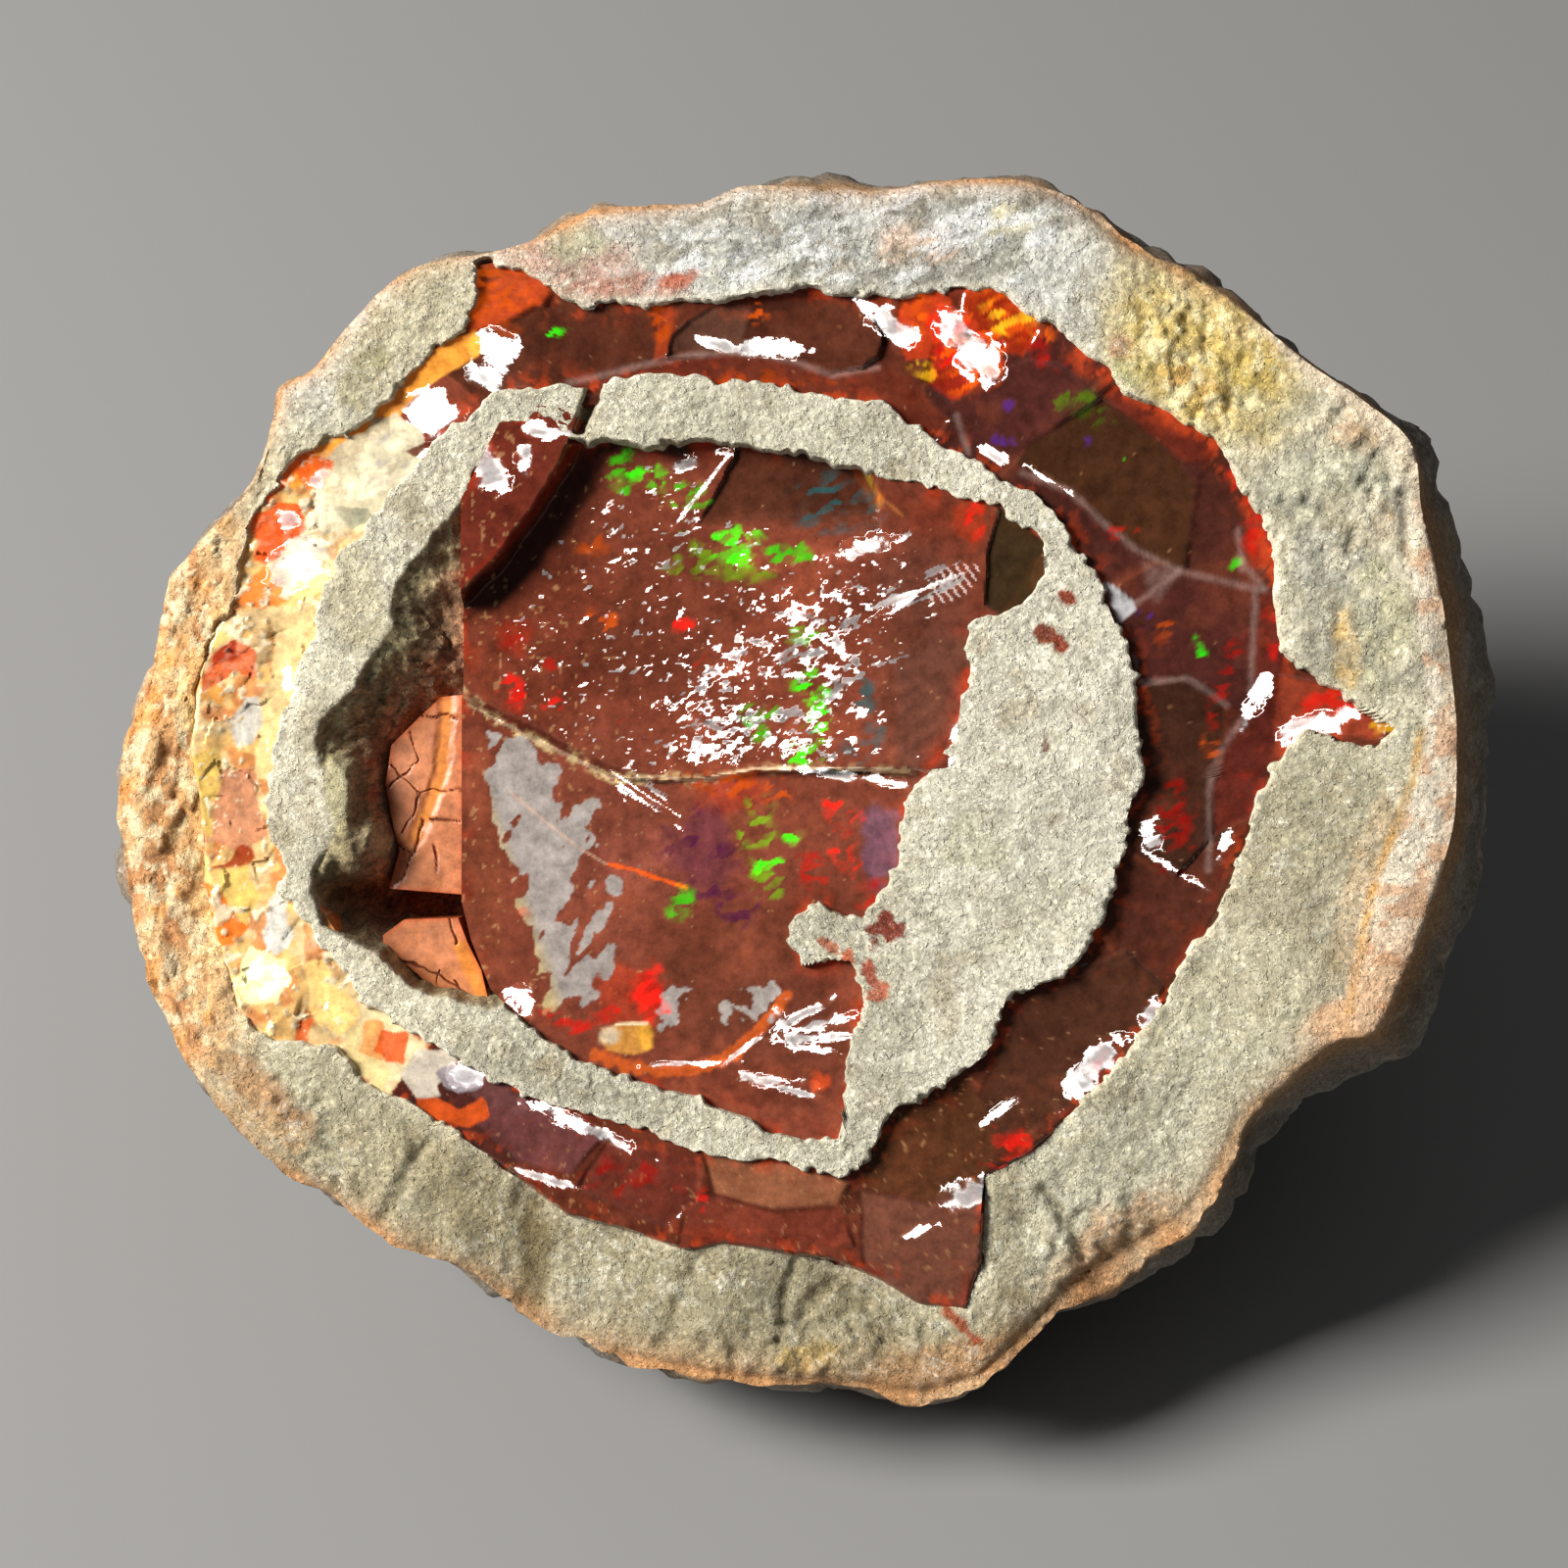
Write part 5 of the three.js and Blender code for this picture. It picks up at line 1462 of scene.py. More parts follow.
def paint_pit(points, paint, into):
    """Brown crumbly rock, olive along the pit's upper edge and redder towards the blocks, painted paler than
    it is as light in its shade, with painted patches of light on the lumps.
    """
    down = smoothstep(into, -0.05, 0.3)
    gap, own, _ = cracked(points + 0.2 * noise(points, 0.5, 92)[:, None], 0.5, 96)
    # Painted paler than the rock's own brown: painted light, standing in for the bounce light in the shade.
    look = mix(tint(168, 156, 116), tint(186, 134, 98), smoothstep(into, 0.6, 3.4)[:, None])
    look = look * (0.66 + 0.7 * own + 0.4 * layered(points, 1.4, 3, 89))[:, None]
    look = mix(look, tint(84, 56, 38), 0.8 * np.exp(-gap / 0.05)[:, None])
    paint.cover(down * 0.95, look.clip(0, 1))
    rusty = blotches(points, 1.2, 3, 93, 0.1, 0.35) * smoothstep(into, 0.8, 2.4)
    paint.cover(rusty * 0.6, tint(190, 110, 78))
    # Patches of light painted pale on the lumps.
    for at, half, turn in LIT_SPOTS:
        paint.cover(down * spot(points, at, half, turn, seed=100) * 0.6, tint(214, 206, 166))


def build_inner(material):
    inner = edge_loop(CORE_OUTSIDE, BOWL_CENTRE, INNER_COLUMNS, np.min, -RING_OVERLAP)
    outer = edge_loop(INNER_OUTSIDE, BOWL_CENTRE, INNER_COLUMNS, np.max, RING_OVERLAP)
    grid = annulus(inner, outer, INNER_ROWS)
    return ring_piece("inner_rock_ring", grid, inner_rock, CORE_DEPTH + SEAM, INNER_ROCK_DEPTH, material, 70)


# The core

# The whitish film on the lower plane.
FILM_OUTLINE = [
    (-16, 2.5), (-14.2, 2.2), (-13.4, 1), (-12.4, 1.2), (-12.1, 0.7), (-12.6, 0), (-12.4, -0.6), (-12, -0.6),
    (-10.6, -1), (-10.5, -1.6), (-11, -2.4), (-10.4, -3.2), (-10.1, -4), (-10.2, -5.6), (-11.2, -6),
    (-11.4, -7.2), (-11.8, -8.8), (-12.6, -9), (-13.5, -9.8), (-13.6, -8), (-14.2, -6.8), (-14.8, -5.4),
    (-15.2, -3.6), (-15.8, -2), (-16.1, 0),
]

# The smooth fan below the upper edge, and the dark olive facet at its right.
FAN = [
    (-5.3, 13.4), (-4.6, 14.8), (-3.4, 17.2), (2.6, 17.2), (3.6, 15.4), (3.9, 12.7), (2.2, 12.9),
    (-1.5, 12.6),
]
OLIVE_FACET = [(9.3, 9.2), (9.4, 12), (10, 14.2), (12.4, 12.4), (12.2, 10.3), (10.4, 8.3)]

CORE_FEATURES = [
    # The upper plane.
    feature((104, 46, 30), (-13.6, 8), (3.6, 6), 0, 0.5),
    feature((86, 44, 30), (-7, 9), (3, 5), -20, 0.3),
    feature((150, 40, 20), (-15, 7.6), (1.0, 0.9), 0, 0.5, glow=0.1),
    feature((120, 80, 66), (7, 4), (2, 4), 0, 0.6),
    feature((104, 60, 48), (6, 10), (3, 2), -20, 0.5),
    feature((126, 52, 34), (7.2, 13.6), (2.2, 0.9), -14, 0.5, glow=0.01),
    feature((206, 90, 34), (2.9, 16.2), (0.5, 1.2), 20, 0.7, glow=0.1),
    feature((214, 120, 40), (3.6, 14.8), (0.35, 0.9), 25, 0.7, glow=0.1),
    feature((170, 54, 26), (8.6, 13.6), (0.8, 1.2), -10, 0.6, glow=0.08),
    # The lower plane.
    feature((138, 74, 56), (-10, -3), (4, 6), 0, 0.5),
    feature((160, 86, 68), (-8.4, -3.4), (1.8, 1.6), 0, 0.5),
    feature((168, 58, 38), (-3.4, -0.4), (2, 1), 0, 0.6, glow=0.04),
    feature((112, 60, 42), (-4, -9), (3.4, 3), 0, 0.6),
    feature((98, 46, 62), (-5.2, -3.6), (1.7, 2.0), 10, 0.6),
    feature((120, 96, 124), (3.9, -3.2), (0.9, 2.2), 0, 0.5),
    feature((86, 48, 34), (-1, -13), (4, 3), 0, 0.5),
    feature((146, 76, 50), (-16.4, -4), (1, 6), 3, 0.5),
    feature((98, 50, 36), (1.5, -8), (3.4, 2.6), 0, 0.6),
    feature((196, 30, 18), (-7.9, -10.8), (0.7, 1.5), 5, 0.8, glow=0.25),
    feature((176, 60, 34), (-9.4, -11.0), (1.2, 1.6), 20, 0.6, glow=0.06),
    feature((84, 40, 28), (-2, -15.4), (4.5, 1.0), -8, 0.6),
    feature((190, 70, 32), (0.8, -15.2), (0.5, 0.5), 0, 0.8, glow=0.1),
    feature((104, 60, 46), (6.4, 5), (3, 5), 0, 0.5),
    feature((250, 206, 70), (3.2, 16.1), (0.12, 0.9), 20, 0.9, glow=0.2),
    feature((196, 120, 60), (4.6, 14.1), (0.8, 0.09), -40, 0.5, glow=0.02),
]

# Marks on the core: the gold line along the step, gold crumbs with a painted highlight on its lit edge, the
# ledge under the splinter, the lit edge at the lower left, the amber chip above it with its bright upper
# edge, and a scratch and a hot line in the film.
STEP_GOLD_HIGHLIGHT = [
    (-17.7, 4.7), (-15.9, 3.4), (-13.9, 2.3), (-12.1, 1.5), (-10.85, 0.85), (-9.9, 0.3), (-8.3, 0.3),
    (-7.35, 0.4), (-5.75, 0.15), (-4.15, 0.4), (-2.55, 0.8), (0.48, 0.8), (5.4, 0.65),
]

LEDGE_LINE = [(-11.2, 18.2), (-12.4, 16.2), (-13.8, 14), (-15.8, 11.6), (-18.6, 9.6)]
LIT_EDGE = [
    (-10.6, -13.9), (-9.2, -14.4), (-7.5, -14.7), (-5, -14.5), (-3.6, -13.8), (-2.5, -12.8), (-0.9, -10.9),
]
AMBER_CHIP = [
    (-10.4, -12.5), (-9.4, -12.2), (-8.0, -12.2), (-7.7, -13.5), (-8.7, -13.8), (-10.0, -13.6),
    (-10.5, -13.1),
]
CHIP_EDGE = [(-9.6, -12.3), (-8.0, -12.25)]
FILM_SCRATCH = [(-15, -0.4), (-13.6, -1.6), (-11.6, -3.2), (-10.1, -4.1)]
HOT_LINE = [(-10, -4.1), (-8.6, -4.4), (-7.6, -4.8), (-6, -5.3)]

# Play of colour in the core: the look, where, how large, how strong and which way it lies.
CORE_FIRE = [
    (GREEN, (-8, 15.8), (1.2, 0.55), 0.7, -10), (GREEN, (-9.5, 15.9), (0.6, 0.9), 0.35, 0),
    (GREEN, (-6, 14.8), (1.1, 0.7), 0.3, 20), (GREEN, (-3.9, 12.2), (1.4, 0.85), 0.9, -10),
    (LIME, (-4.3, 11.2), (2.0, 0.8), 0.3, 0), (GREEN, (-1, 11.8), (1.1, 0.5), 0.3, 0),
    (GREEN, (0.3, 7.5), (0.9, 0.4), 0.7, 10), (GREEN, (0.4, 5), (0.8, 0.7), 0.8, 20),
    (GREEN, (0.7, 3.3), (0.65, 0.85), 1.0, 20), (GREEN, (-0.1, 1.5), (0.8, 0.5), 1.0, 0),
    (GREEN, (-2.2, 3.5), (0.7, 0.8), 0.25, 0), (TEAL, (3, 2.1), (0.9, 0.9), 0.5, 0),
    (TEAL, (1.4, 14.2), (1.8, 1.5), 0.35, 0), (TEAL, (3.2, 4.2), (0.5, 1.4), 0.3, 0),
    (RED, (-15.1, 7.4), (0.5, 0.6), 0.25, 0), (RED, (-15, 4.6), (0.6, 0.9), 0.6, 0),
    (RED, (-12.9, 4.2), (0.45, 0.5), 0.6, 0), (RED, (-9.6, 3.7), (0.5, 0.45), 0.6, 0),
    (FIRE, (-10.5, 8.2), (0.9, 0.6), 0.4, 0), (RED, (-6.2, 8.2), (0.6, 0.5), 0.6, 0),
    (RED, (8.8, 13.6), (0.4, 0.9), 0.6, 10), (RED, (-4.9, 6.3), (0.5, 0.4), 0.3, 0),
    (FIRE, (-10.8, 12.2), (0.8, 0.7), 0.15, 0), (RED, (-12.9, 6.2), (0.5, 0.4), 0.15, 0),
    (RED, (-7.8, -11), (0.8, 1.4), 1.0, 5), (RED, (-9.6, -11.4), (1.2, 0.7), 0.4, 20),
    (RED, (2, -1.5), (0.95, 0.6), 0.9, -30), (RED, (2.1, -3.6), (0.55, 0.95), 0.9, 10),
    (RED, (0.7, -4.4), (0.8, 0.8), 0.3, 0), (GREEN, (-0.4, -2.6), (0.5, 0.3), 1.0, 20),
    (GREEN, (-1.9, -4.1), (0.6, 0.4), 0.8, 20), (LIME, (-2.3, -2.2), (1.0, 1.2), 0.6, -30),
    (LIME, (-2.2, -4.6), (1.0, 0.9), 0.4, -30), (GREEN, (-6.4, -6), (0.6, 0.9), 0.3, 0),
    (PLUM, (-5.8, -3), (1.2, 1.2), 0.1, 0), (PLUM, (-4.2, -4.6), (1.2, 1.4), 0.07, 0),
    (PLUM, (-3.3, -6.4), (1.1, 0.9), 0.12, 0), (FIRE, (-4, 0), (1.6, 0.6), 0.3, 0),
    (RED, (-14.2, -6.8), (0.4, 0.4), 0.5, 0), (FIRE, (-1.4, -0.4), (1.0, 0.5), 0.4, 0),
    (RED, (3.8, -6.2), (0.9, 0.9), 0.25, 0), (RED, (-12, -12.2), (1.4, 0.4), 0.3, -25),
]

# Patches of the core that mirror the light.
CORE_SHINES = [
    ((-15.9, 15.9), (0.6, 1.2), 16, 0.9), ((-13, 18), (1.1, 0.35), -10, 0.6),
    ((-14.3, 16.6), (0.3, 0.6), 0, 0.6), ((3.1, 12.1), (1.4, 0.42), 18, 2.0),
    ((-6.1, 16.4), (0.6, 0.3), 20, 0.5), ((-5.0, 15.4), (0.09, 2.2), -38, 1.0),
    ((-6.8, 17.4), (2.1, 0.22), -8, 1.0), ((-0.1, -11.8), (1.4, 0.2), 28, 0.7),
    ((0.6, -12.4), (1.6, 0.24), 16, 0.7), ((0.5, -13.0), (1.5, 0.2), 4, 0.7),
    ((0.4, -13.5), (1.1, 0.16), -8, 0.6), ((-1.6, -15.2), (1.5, 0.26), -8, 0.8),
    ((-0.4, -15.7), (1.0, 0.16), -14, 0.6), ((-5.6, -14.3), (1.7, 0.14), 2, 0.7),
    ((-3.0, -13.5), (1.1, 0.12), 38, 0.6), ((3, 0.3), (2.5, 0.22), -8, 0.9),
    ((4.2, -8.6), (0.9, 0.7), 30, 0.8), ((7.8, 1.9), (0.25, 1.4), -10, 0.8),
    ((-14.6, -11.2), (0.7, 0.6), -30, 0.8), ((-6.3, 17.2), (0.4, 0.4), 0, 0.6),
    ((-0.9, -12.6), (0.25, 0.9), 20, 0.6),
]

WIDE_LEAN = 0.13  # how steeply the wide plane rises to the right
WIDE_LOW = -1.75
CORE_WALL = 1.8  # where the bowl under the core starts


def wide_plane(points):
    """The height of the scooped upper plane of the core."""
    u, v = points[:, 0], points[:, 1]
    runs = np.linspace(-19, 14, 120)
    lean = WIDE_LEAN * smoothstep(runs, -9, -5) * (1 - smoothstep(runs, 3, 6))
    rise = np.concatenate([[0], np.cumsum(0.5 * (lean[1:] + lean[:-1]) * np.diff(runs))])
    return WIDE_LOW + np.interp(u, runs, rise) + 0.006 * (v - 8) ** 2 - 0.03 * (v - 8)


def core_levels(points):
    """The core's height without detail, and where its levels are."""
    u, v = points[:, 0], points[:, 1]
    lower = -0.6 + 0.12 * np.sin(u / 3.4) - 0.02 * (v + 6)
    step = inside_by(points, STEP_LINE + SCOOP_EDGE) + 0.12 * layered(points, 0.9, 2, 101)
    lower_edge = [(15, -21)] + STEP_LINE[::-1] + [(-18.8, -21)]
    below = inside_by(points, lower_edge) + 0.08 * layered(points, 0.8, 2, 102)
    height = mix(np.full(len(points), SPLINTER_TOP), wide_plane(points), smoothstep(step, -0.25, 0.45))
    height = mix(height, lower, smoothstep(below, -0.1, 0.25))
    return height, step, below


def fleck_density(points):
    """How many of the small chips of the upper plane mirror the light."""
    main = spot(points, (-0.6, 5.8), (6.4, 3.8), turn=36, ragged=0.4, soft=0.45, seed=103)
    low = spot(points, (-2.5, 1.7), (6.4, 0.8), turn=-3, ragged=0.4, soft=0.4, seed=178)
    cluster = spot(points, (-8.2, 13.6), (2.2, 1.5), turn=30, ragged=0.5, soft=0.5, seed=104)
    sparse = spot(points, (-6, 6.5), (7.5, 7), turn=0, ragged=0.4, soft=0.6, seed=105)
    patchy = blotches(points, 1.6, 2, 109, -0.6, 0.25)
    return (0.44 * main + 0.3 * low + 0.34 * cluster).clip(0, 0.46) * patchy + 0.1 * sparse


def opal_core(points):
    """The height and the paint of the core's broken surface."""
    u, v = points[:, 0], points[:, 1]
    height, step, below = core_levels(points)
    upper = smoothstep(step, 0.2, 0.8) * (1 - smoothstep(below, -0.6, -0.1))
    fan = area(points, FAN, ragged=0.2, seed=110) * smoothstep(v, 12.6, 14.2)
    height = mix(height, -1.35 + 0.04 * (u - 1) + 0.05 * (v - 15), fan)
    olive = area(points, OLIVE_FACET, seed=111)
    height = height + olive * (0.12 * (u - 10.6) - 0.1)
    density = fleck_density(points) * upper * (1 - fan)
    height = height + 0.05 * density * layered(points, 0.8, 2, 137)
    ridges = np.sin((u * 0.5 - v * 0.86) * 7.2 + noise(points, 2, 112))
    plain = spot(points, (5.2, 4.2), (2, 3.6), 0, 0.3, 0.4, 113)
    height = height + 0.014 * ridges * plain + 0.022 * layered(points, 0.9, 2, 107)
    paint = Paint(len(points), tint(122, 60, 42), 0.07)
    paint_core(points, paint, step, below, fan, olive)
    lay_shines(points, paint, CORE_SHINES, 131)
    lay_glints(points, paint, density)
    return height, paint


def lay_glints(points, paint, density):
    """The glints of the core: torn chips on the upper plane, two bundles of streaks and a comb of ribs."""
    u, v = points[:, 0], points[:, 1]
    feather = spot(points, (-8.1, -0.7), (2.0, 0.8), -34, 0.4, 0.4, 177)
    streaks = spot(points, (5.6, 9.8), (2.6, 0.9), 22, 0.4, 0.3, 115)
    flecks(points, paint, density, 16, 0.32, 1.9, 106)
    flecks(points, paint, density * 0.85, -6, 0.22, 1.6, 171)
    flecks(points, paint, 0.6 * feather, -34, 0.2, 6.0, 176)
    flecks(points, paint, 0.6 * streaks, 24, 0.2, 8.0, 132)
    comb = np.sin((u * 0.8 + v * 0.6) * 15.7) > 0.35
    ribs = spot(points, (7.7, 10.3), (1.5, 0.8), 38, 0.15, 0.1, 114) * comb
    paint.face(ribs, mirror_slope(points) + 0.05)
    paint.finish = mix(paint.finish, DULL_FINISH, ribs)


def paint_core(points, paint, step, below, fan, olive):
    """The planes of the core, its clouds, the painted shadow by the ledge, the step, the thin edges painted
    warm and glowing as lit through, chips and film, and its play of colour.
    """
    paint.cover(smoothstep(below, 0, 0.5) * 0.8, tint(130, 66, 48))
    paint_features(points, paint, CORE_FEATURES, 701)
    paint.cover(fan * 0.85, tint(76, 42, 28))
    paint.cover(smoothstep(-step, 0.1, 0.5) * (1 - smoothstep(below, 0, 0.3)) * 0.8, tint(104, 40, 28))
    cloud = layered(points + 0.5 * noise(points, 1.0, 98)[:, None], 3.0, 5, 108)
    paint.shade(1 + 0.32 * cloud)
    paint.cover(smoothstep(cloud, 0.3, 0.8) * 0.35, tint(168, 82, 54))
    # A painted shadow beside the ledge, where the splinter shades the wide plane.
    shadow = [(a + 0.9, b - 0.7) for a, b in LEDGE_LINE]
    paint.cover(stroke(points, shadow, 0.8, seed=116) * 0.8, tint(44, 20, 14))
    paint.cover(stroke(points, LEDGE_LINE, 0.2, seed=117) * 0.5, tint(130, 34, 20), glow=BRIGHT_RED * 0.02)
    paint_step(points, paint)
    # The thin edges painted warm and glowing, as light shining through them.
    border = np.abs(inside_by(points, CORE_OUTSIDE))
    thin = np.exp(-border / 0.35) * blotches(points, 1.3, 3, 119, -0.05, 0.4)
    paint.cover(thin * 0.8, tint(176, 56, 26), glow=BRIGHT_RED * 0.05)
    paint.cover(olive * 0.95, tint(50, 40, 22), glow=BLACK)
    paint.cover(olive * spot(points, (12.2, 10.6), (0.8, 1.2), 0, seed=142) * 0.6, tint(86, 56, 32))
    # Small pale specks towards the left: gold dust, and painted glints of tiny grains.
    dust_and_glints = specks(points, 0.26, smoothstep(-points[:, 0] + 2 * noise(points, 2, 139), 4, 15) * 0.5, 120)
    paint.cover(dust_and_glints * 0.45, tint(200, 150, 100), finish=0.4)
    paint_core_chips(points, paint)
    paint_film(points, paint)
    lay_fire(points, paint, CORE_FIRE, 801, 0.5)


def paint_step(points, paint):
    """The gold line along the step, grainy at the left and thin at the right: gold crumbs, and a painted
    highlight where the step's edge is lit.
    """
    left = smoothstep(-points[:, 0], 4, 9)
    grains = blotches(points, 0.3, 2, 133, -0.15, 0.15)
    band = stroke(points, STEP_GOLD_HIGHLIGHT, 0.26, soft=0.5, ragged=0.9, seed=118)
    paint.cover(band * grains * (0.25 + 0.65 * left), tint(216, 186, 132), finish=0.35)
    # A thin pale line, a painted highlight on the step's lit edge.
    line = stroke(points, STEP_GOLD_HIGHLIGHT, 0.09, ragged=1.0, seed=119)
    paint.cover(line * (0.85 - 0.4 * left), tint(236, 208, 168), finish=0.2)


def paint_core_chips(points, paint):
    """The lit edge and the amber chip at the lower left."""
    edge = stroke(points, LIT_EDGE, 0.3, ragged=0.9, seed=148)
    paint.cover(edge * 0.8, tint(206, 92, 36), glow=HOT_ORANGE * 0.05)
    paint.cover(area(points, AMBER_CHIP, ragged=0.2, seed=140), tint(206, 142, 66), finish=0.12)
    paint.cover(spot(points, (-9.9, -12.9), (0.5, 0.5), seed=143) * 0.8, tint(222, 206, 176))
    paint.cover(spot(points, (-8.1, -12.9), (0.4, 0.6), seed=144) * 0.8, tint(240, 176, 60),
                glow=HOT_ORANGE * 0.05)
    paint.cover(stroke(points, CHIP_EDGE, 0.08, seed=141) * 0.9, tint(250, 230, 190))


def paint_film(points, paint):
    """The thin whitish film on the lower plane, with holes and streaks."""
    u, v = points[:, 0], points[:, 1]
    leaning = np.column_stack([(u * 0.5 + v * 0.86) / 2.2, v * 0.5 - u * 0.86])
    streaks = blotches(leaning, 0.8, 4, 123, -0.06, -0.02)
    torn = mix(0.5, 0.1, smoothstep(-v, 2.5, 8)) + mix(0, -0.3, smoothstep(u, -12.6, -10.4))
    holes = blotches(leaning, 0.9, 4, 121, torn, torn + 0.04)
    jagged = points + 0.5 * drift(points, 0.9, 3, 134)
    whole = area(jagged, FILM_OUTLINE, ragged=0.2, soft=0.03, seed=122) * (1 - holes)
    broken = spot(points, (-10.7, -8.2), (3.4, 1.1), 62, 0.6, 0.05, 124)
    broken = np.maximum(broken, spot(points, (-12.2, -9.6), (2.2, 1.0), 70, 0.5, 0.05, 129))
    bits = np.maximum(spot(points, (-5.5, -11.6), (1.8, 1.0), 0, 0.8, 0.05, 125),
                      spot(points, (-2.6, -11.1), (1.2, 0.9), 0, 0.8, 0.05, 126))
    bits = bits * (1 - blotches(points, 1.0, 3, 145, 0.08, 0.12))
    film = np.maximum(np.maximum(whole, broken * streaks), bits)
    look = mix(tint(168, 158, 152), tint(190, 168, 118), smoothstep(-u - 0.35 * v, 15.8, 17)[:, None])
    look = look * (1 + 0.2 * layered(points, 0.7, 3, 136))[:, None]
    paint.cover(film * 0.95, look, finish=0.4)
    paint.cover(stroke(points, FILM_SCRATCH, 0.05, seed=127) * 0.7, tint(214, 168, 140))
    line = stroke(points, HOT_LINE, 0.09, ragged=0.8, seed=128)
    paint.cover(line, tint(200, 70, 20), glow=tint(255, 110, 30) * 0.4)


def grid_faces(number, rows, columns):
    """The corners of the cells at some rows and columns of a grid of numbered points."""
    return np.column_stack([number[rows, columns], number[rows, columns + 1],
                            number[rows + 1, columns + 1], number[rows + 1, columns]])


def onto_outline(points, outline, most):
    """Points near an outline moved onto it."""
    step = 0.02
    into = inside_by(points, outline)
    way = np.column_stack([
        inside_by(points + (step, 0), outline) - inside_by(points - (step, 0), outline),
        inside_by(points + (0, step), outline) - inside_by(points - (0, step), outline),
    ]) / (2 * step)
    near = (np.abs(into) < most).astype(float)
    return points - (into * near)[:, None] * way


def core_grid():
    """The grid points inside the core's outline, the faces between them and the loop round their edge."""
    us = np.arange(-18, 13.2, CORE_STEP)
    vs = np.arange(-19.5, 19.6, CORE_STEP)
    points = np.stack(np.meshgrid(us, vs), axis=-1)
    margin = np.where(points[..., 0] < -14, 0.0, RING_OVERLAP)
    kept = inside_by(points, CORE_OUTSIDE) > -margin
    cells = without_corner_contacts(kept[:-1, :-1] & kept[1:, :-1] & kept[:-1, 1:] & kept[1:, 1:])
    rows, columns = np.nonzero(cells)
    used = np.zeros(kept.shape, bool)
    for down, right in itertools.product((0, 1), repeat=2):
        used[rows + down, columns + right] = True
    number = np.full(kept.shape, -1)
    number[used] = np.arange(used.sum())
    faces = [tuple(face) for face in grid_faces(number, rows, columns).tolist()]
    flat = points[used]
    edge = boundary_loop(faces)
    flat[edge] = onto_outline(flat[edge], CORE_OUTSIDE, 0.16)
    return flat, faces, edge


def core_bowl(rim, edge, count, faces):
    """The points of the bowl under the core's edge. Its faces are added to the list."""
    around = len(rim)
    loops = []
    last = edge
    for share in (0.12, 0.55, 0.85):
        flat = BOWL_CENTRE + (rim[:, :2] - BOWL_CENTRE) * fullness(share)
        depth = CORE_WALL + share * (CORE_DEPTH - CORE_WALL)
        loops.append(np.column_stack([flat, np.full(around, -depth)]))
        now = list(range(count, count + around))
        count += around
        faces += [(last[(i + 1) % around], last[i], now[i], now[(i + 1) % around]) for i in range(around)]
        last = now
    faces += [(last[(i + 1) % around], last[i], count) for i in range(around)]
    return loops + [np.array([[*BOWL_CENTRE, -CORE_DEPTH]])]


def build_core(material):
    flat, faces, edge = core_grid()
    heights, paint = opal_core(flat)
    top = np.column_stack([flat, heights])
    points = np.vstack([top, *core_bowl(top[edge], edge, len(top), faces)])
    return add_mesh("opal_core_fracture", points, faces, spread(paint, 0, len(points)), material, 40)


def without_corner_contacts(cells):
    """Clears grid cells until no two touch at a corner alone."""
    cells = cells.copy()
    while True:
        a, b, c, d = cells[:-1, :-1], cells[:-1, 1:], cells[1:, :-1], cells[1:, 1:]
        bad_one = a & d & ~b & ~c
        bad_two = b & c & ~a & ~d
        if not (bad_one.any() or bad_two.any()):
            return cells
        cells[:-1, :-1] &= ~bad_one
        cells[:-1, 1:] &= ~bad_two


def boundary_loop(faces):
    """The longest loop of edges that only one face uses, in that face's direction."""
    edges = {(face[i], face[(i + 1) % 4]) for face in faces for i in range(4)}
    after = {a: b for a, b in edges if (b, a) not in edges}
    longest = []
    while after:
        start = next(iter(after))
        loop, now = [], start
        while now in after:
            loop.append(now)
            now = after.pop(now)
        longest = max(longest, loop, key=len)
    return longest


# The cracked blocks in the pit

UPPER_BLOCK = [(-17.6, 4.6), (-18.7, 4.5), (-19.8, 3.5), (-21.3, 2), (-21.6, 0), (-21.2, -2.2), (-20.8, -3.6),
               (-21.4, -5.4), (-17.6, -5.7)]
LOWER_BLOCK = [(-17.8, -6.9), (-20.6, -7), (-21.7, -7.8), (-21.6, -8.6), (-20.4, -9.4), (-19.2, -10.4),
               (-17.6, -11.3), (-16.2, -11.3), (-16.6, -9.6), (-17.3, -8.2)]

UPPER_TOP, LOWER_TOP = -2.3, -2.0
BLOCK_FOOT = PIT_DEPTH + 0.4  # the blocks end in the bowl below the pit's floor

# The cracks of both blocks, and the amber seams of the upper and the lower one.
BLOCK_CRACKS = [
    [(-21.6, 1.2), (-20.6, 0.3), (-19.7, -0.5), (-18.8, -0.3), (-17.7, -0.4)], [(-21.6, -0.2), (-20.6, 0.3)],
    [(-20.2, 2.6), (-19.9, 1.2), (-20.6, 0.3)], [(-19.7, -0.5), (-20.1, -1.6), (-20.9, -2.4)],
    [(-19.6, -1.8), (-20.1, -3.6), (-21.2, -5.2)], [(-19.7, -1.8), (-17.7, -1.9)],
    [(-18.9, -3.1), (-18.9, -4.6)], [(-21, -3), (-20.2, -3.6)], [(-17.8, 3.4), (-19.6, 3.6)],
    [(-21.8, -8.6), (-19.4, -9.5), (-17.2, -10.9)], [(-18.2, -6.9), (-17.9, -8.1)],
    [(-18.9, -9.6), (-19, -10.4)], [(-17.9, -10.2), (-17.4, -11.2)],
]
AMBER_SEAM = [(-18.3, 5.4), (-18.5, 2.6), (-18.7, 0.4), (-19.4, -1.4), (-20, -2.8)]
LOWER_SEAM = [(-17.6, -8.4), (-16.9, -10), (-16.4, -11)]


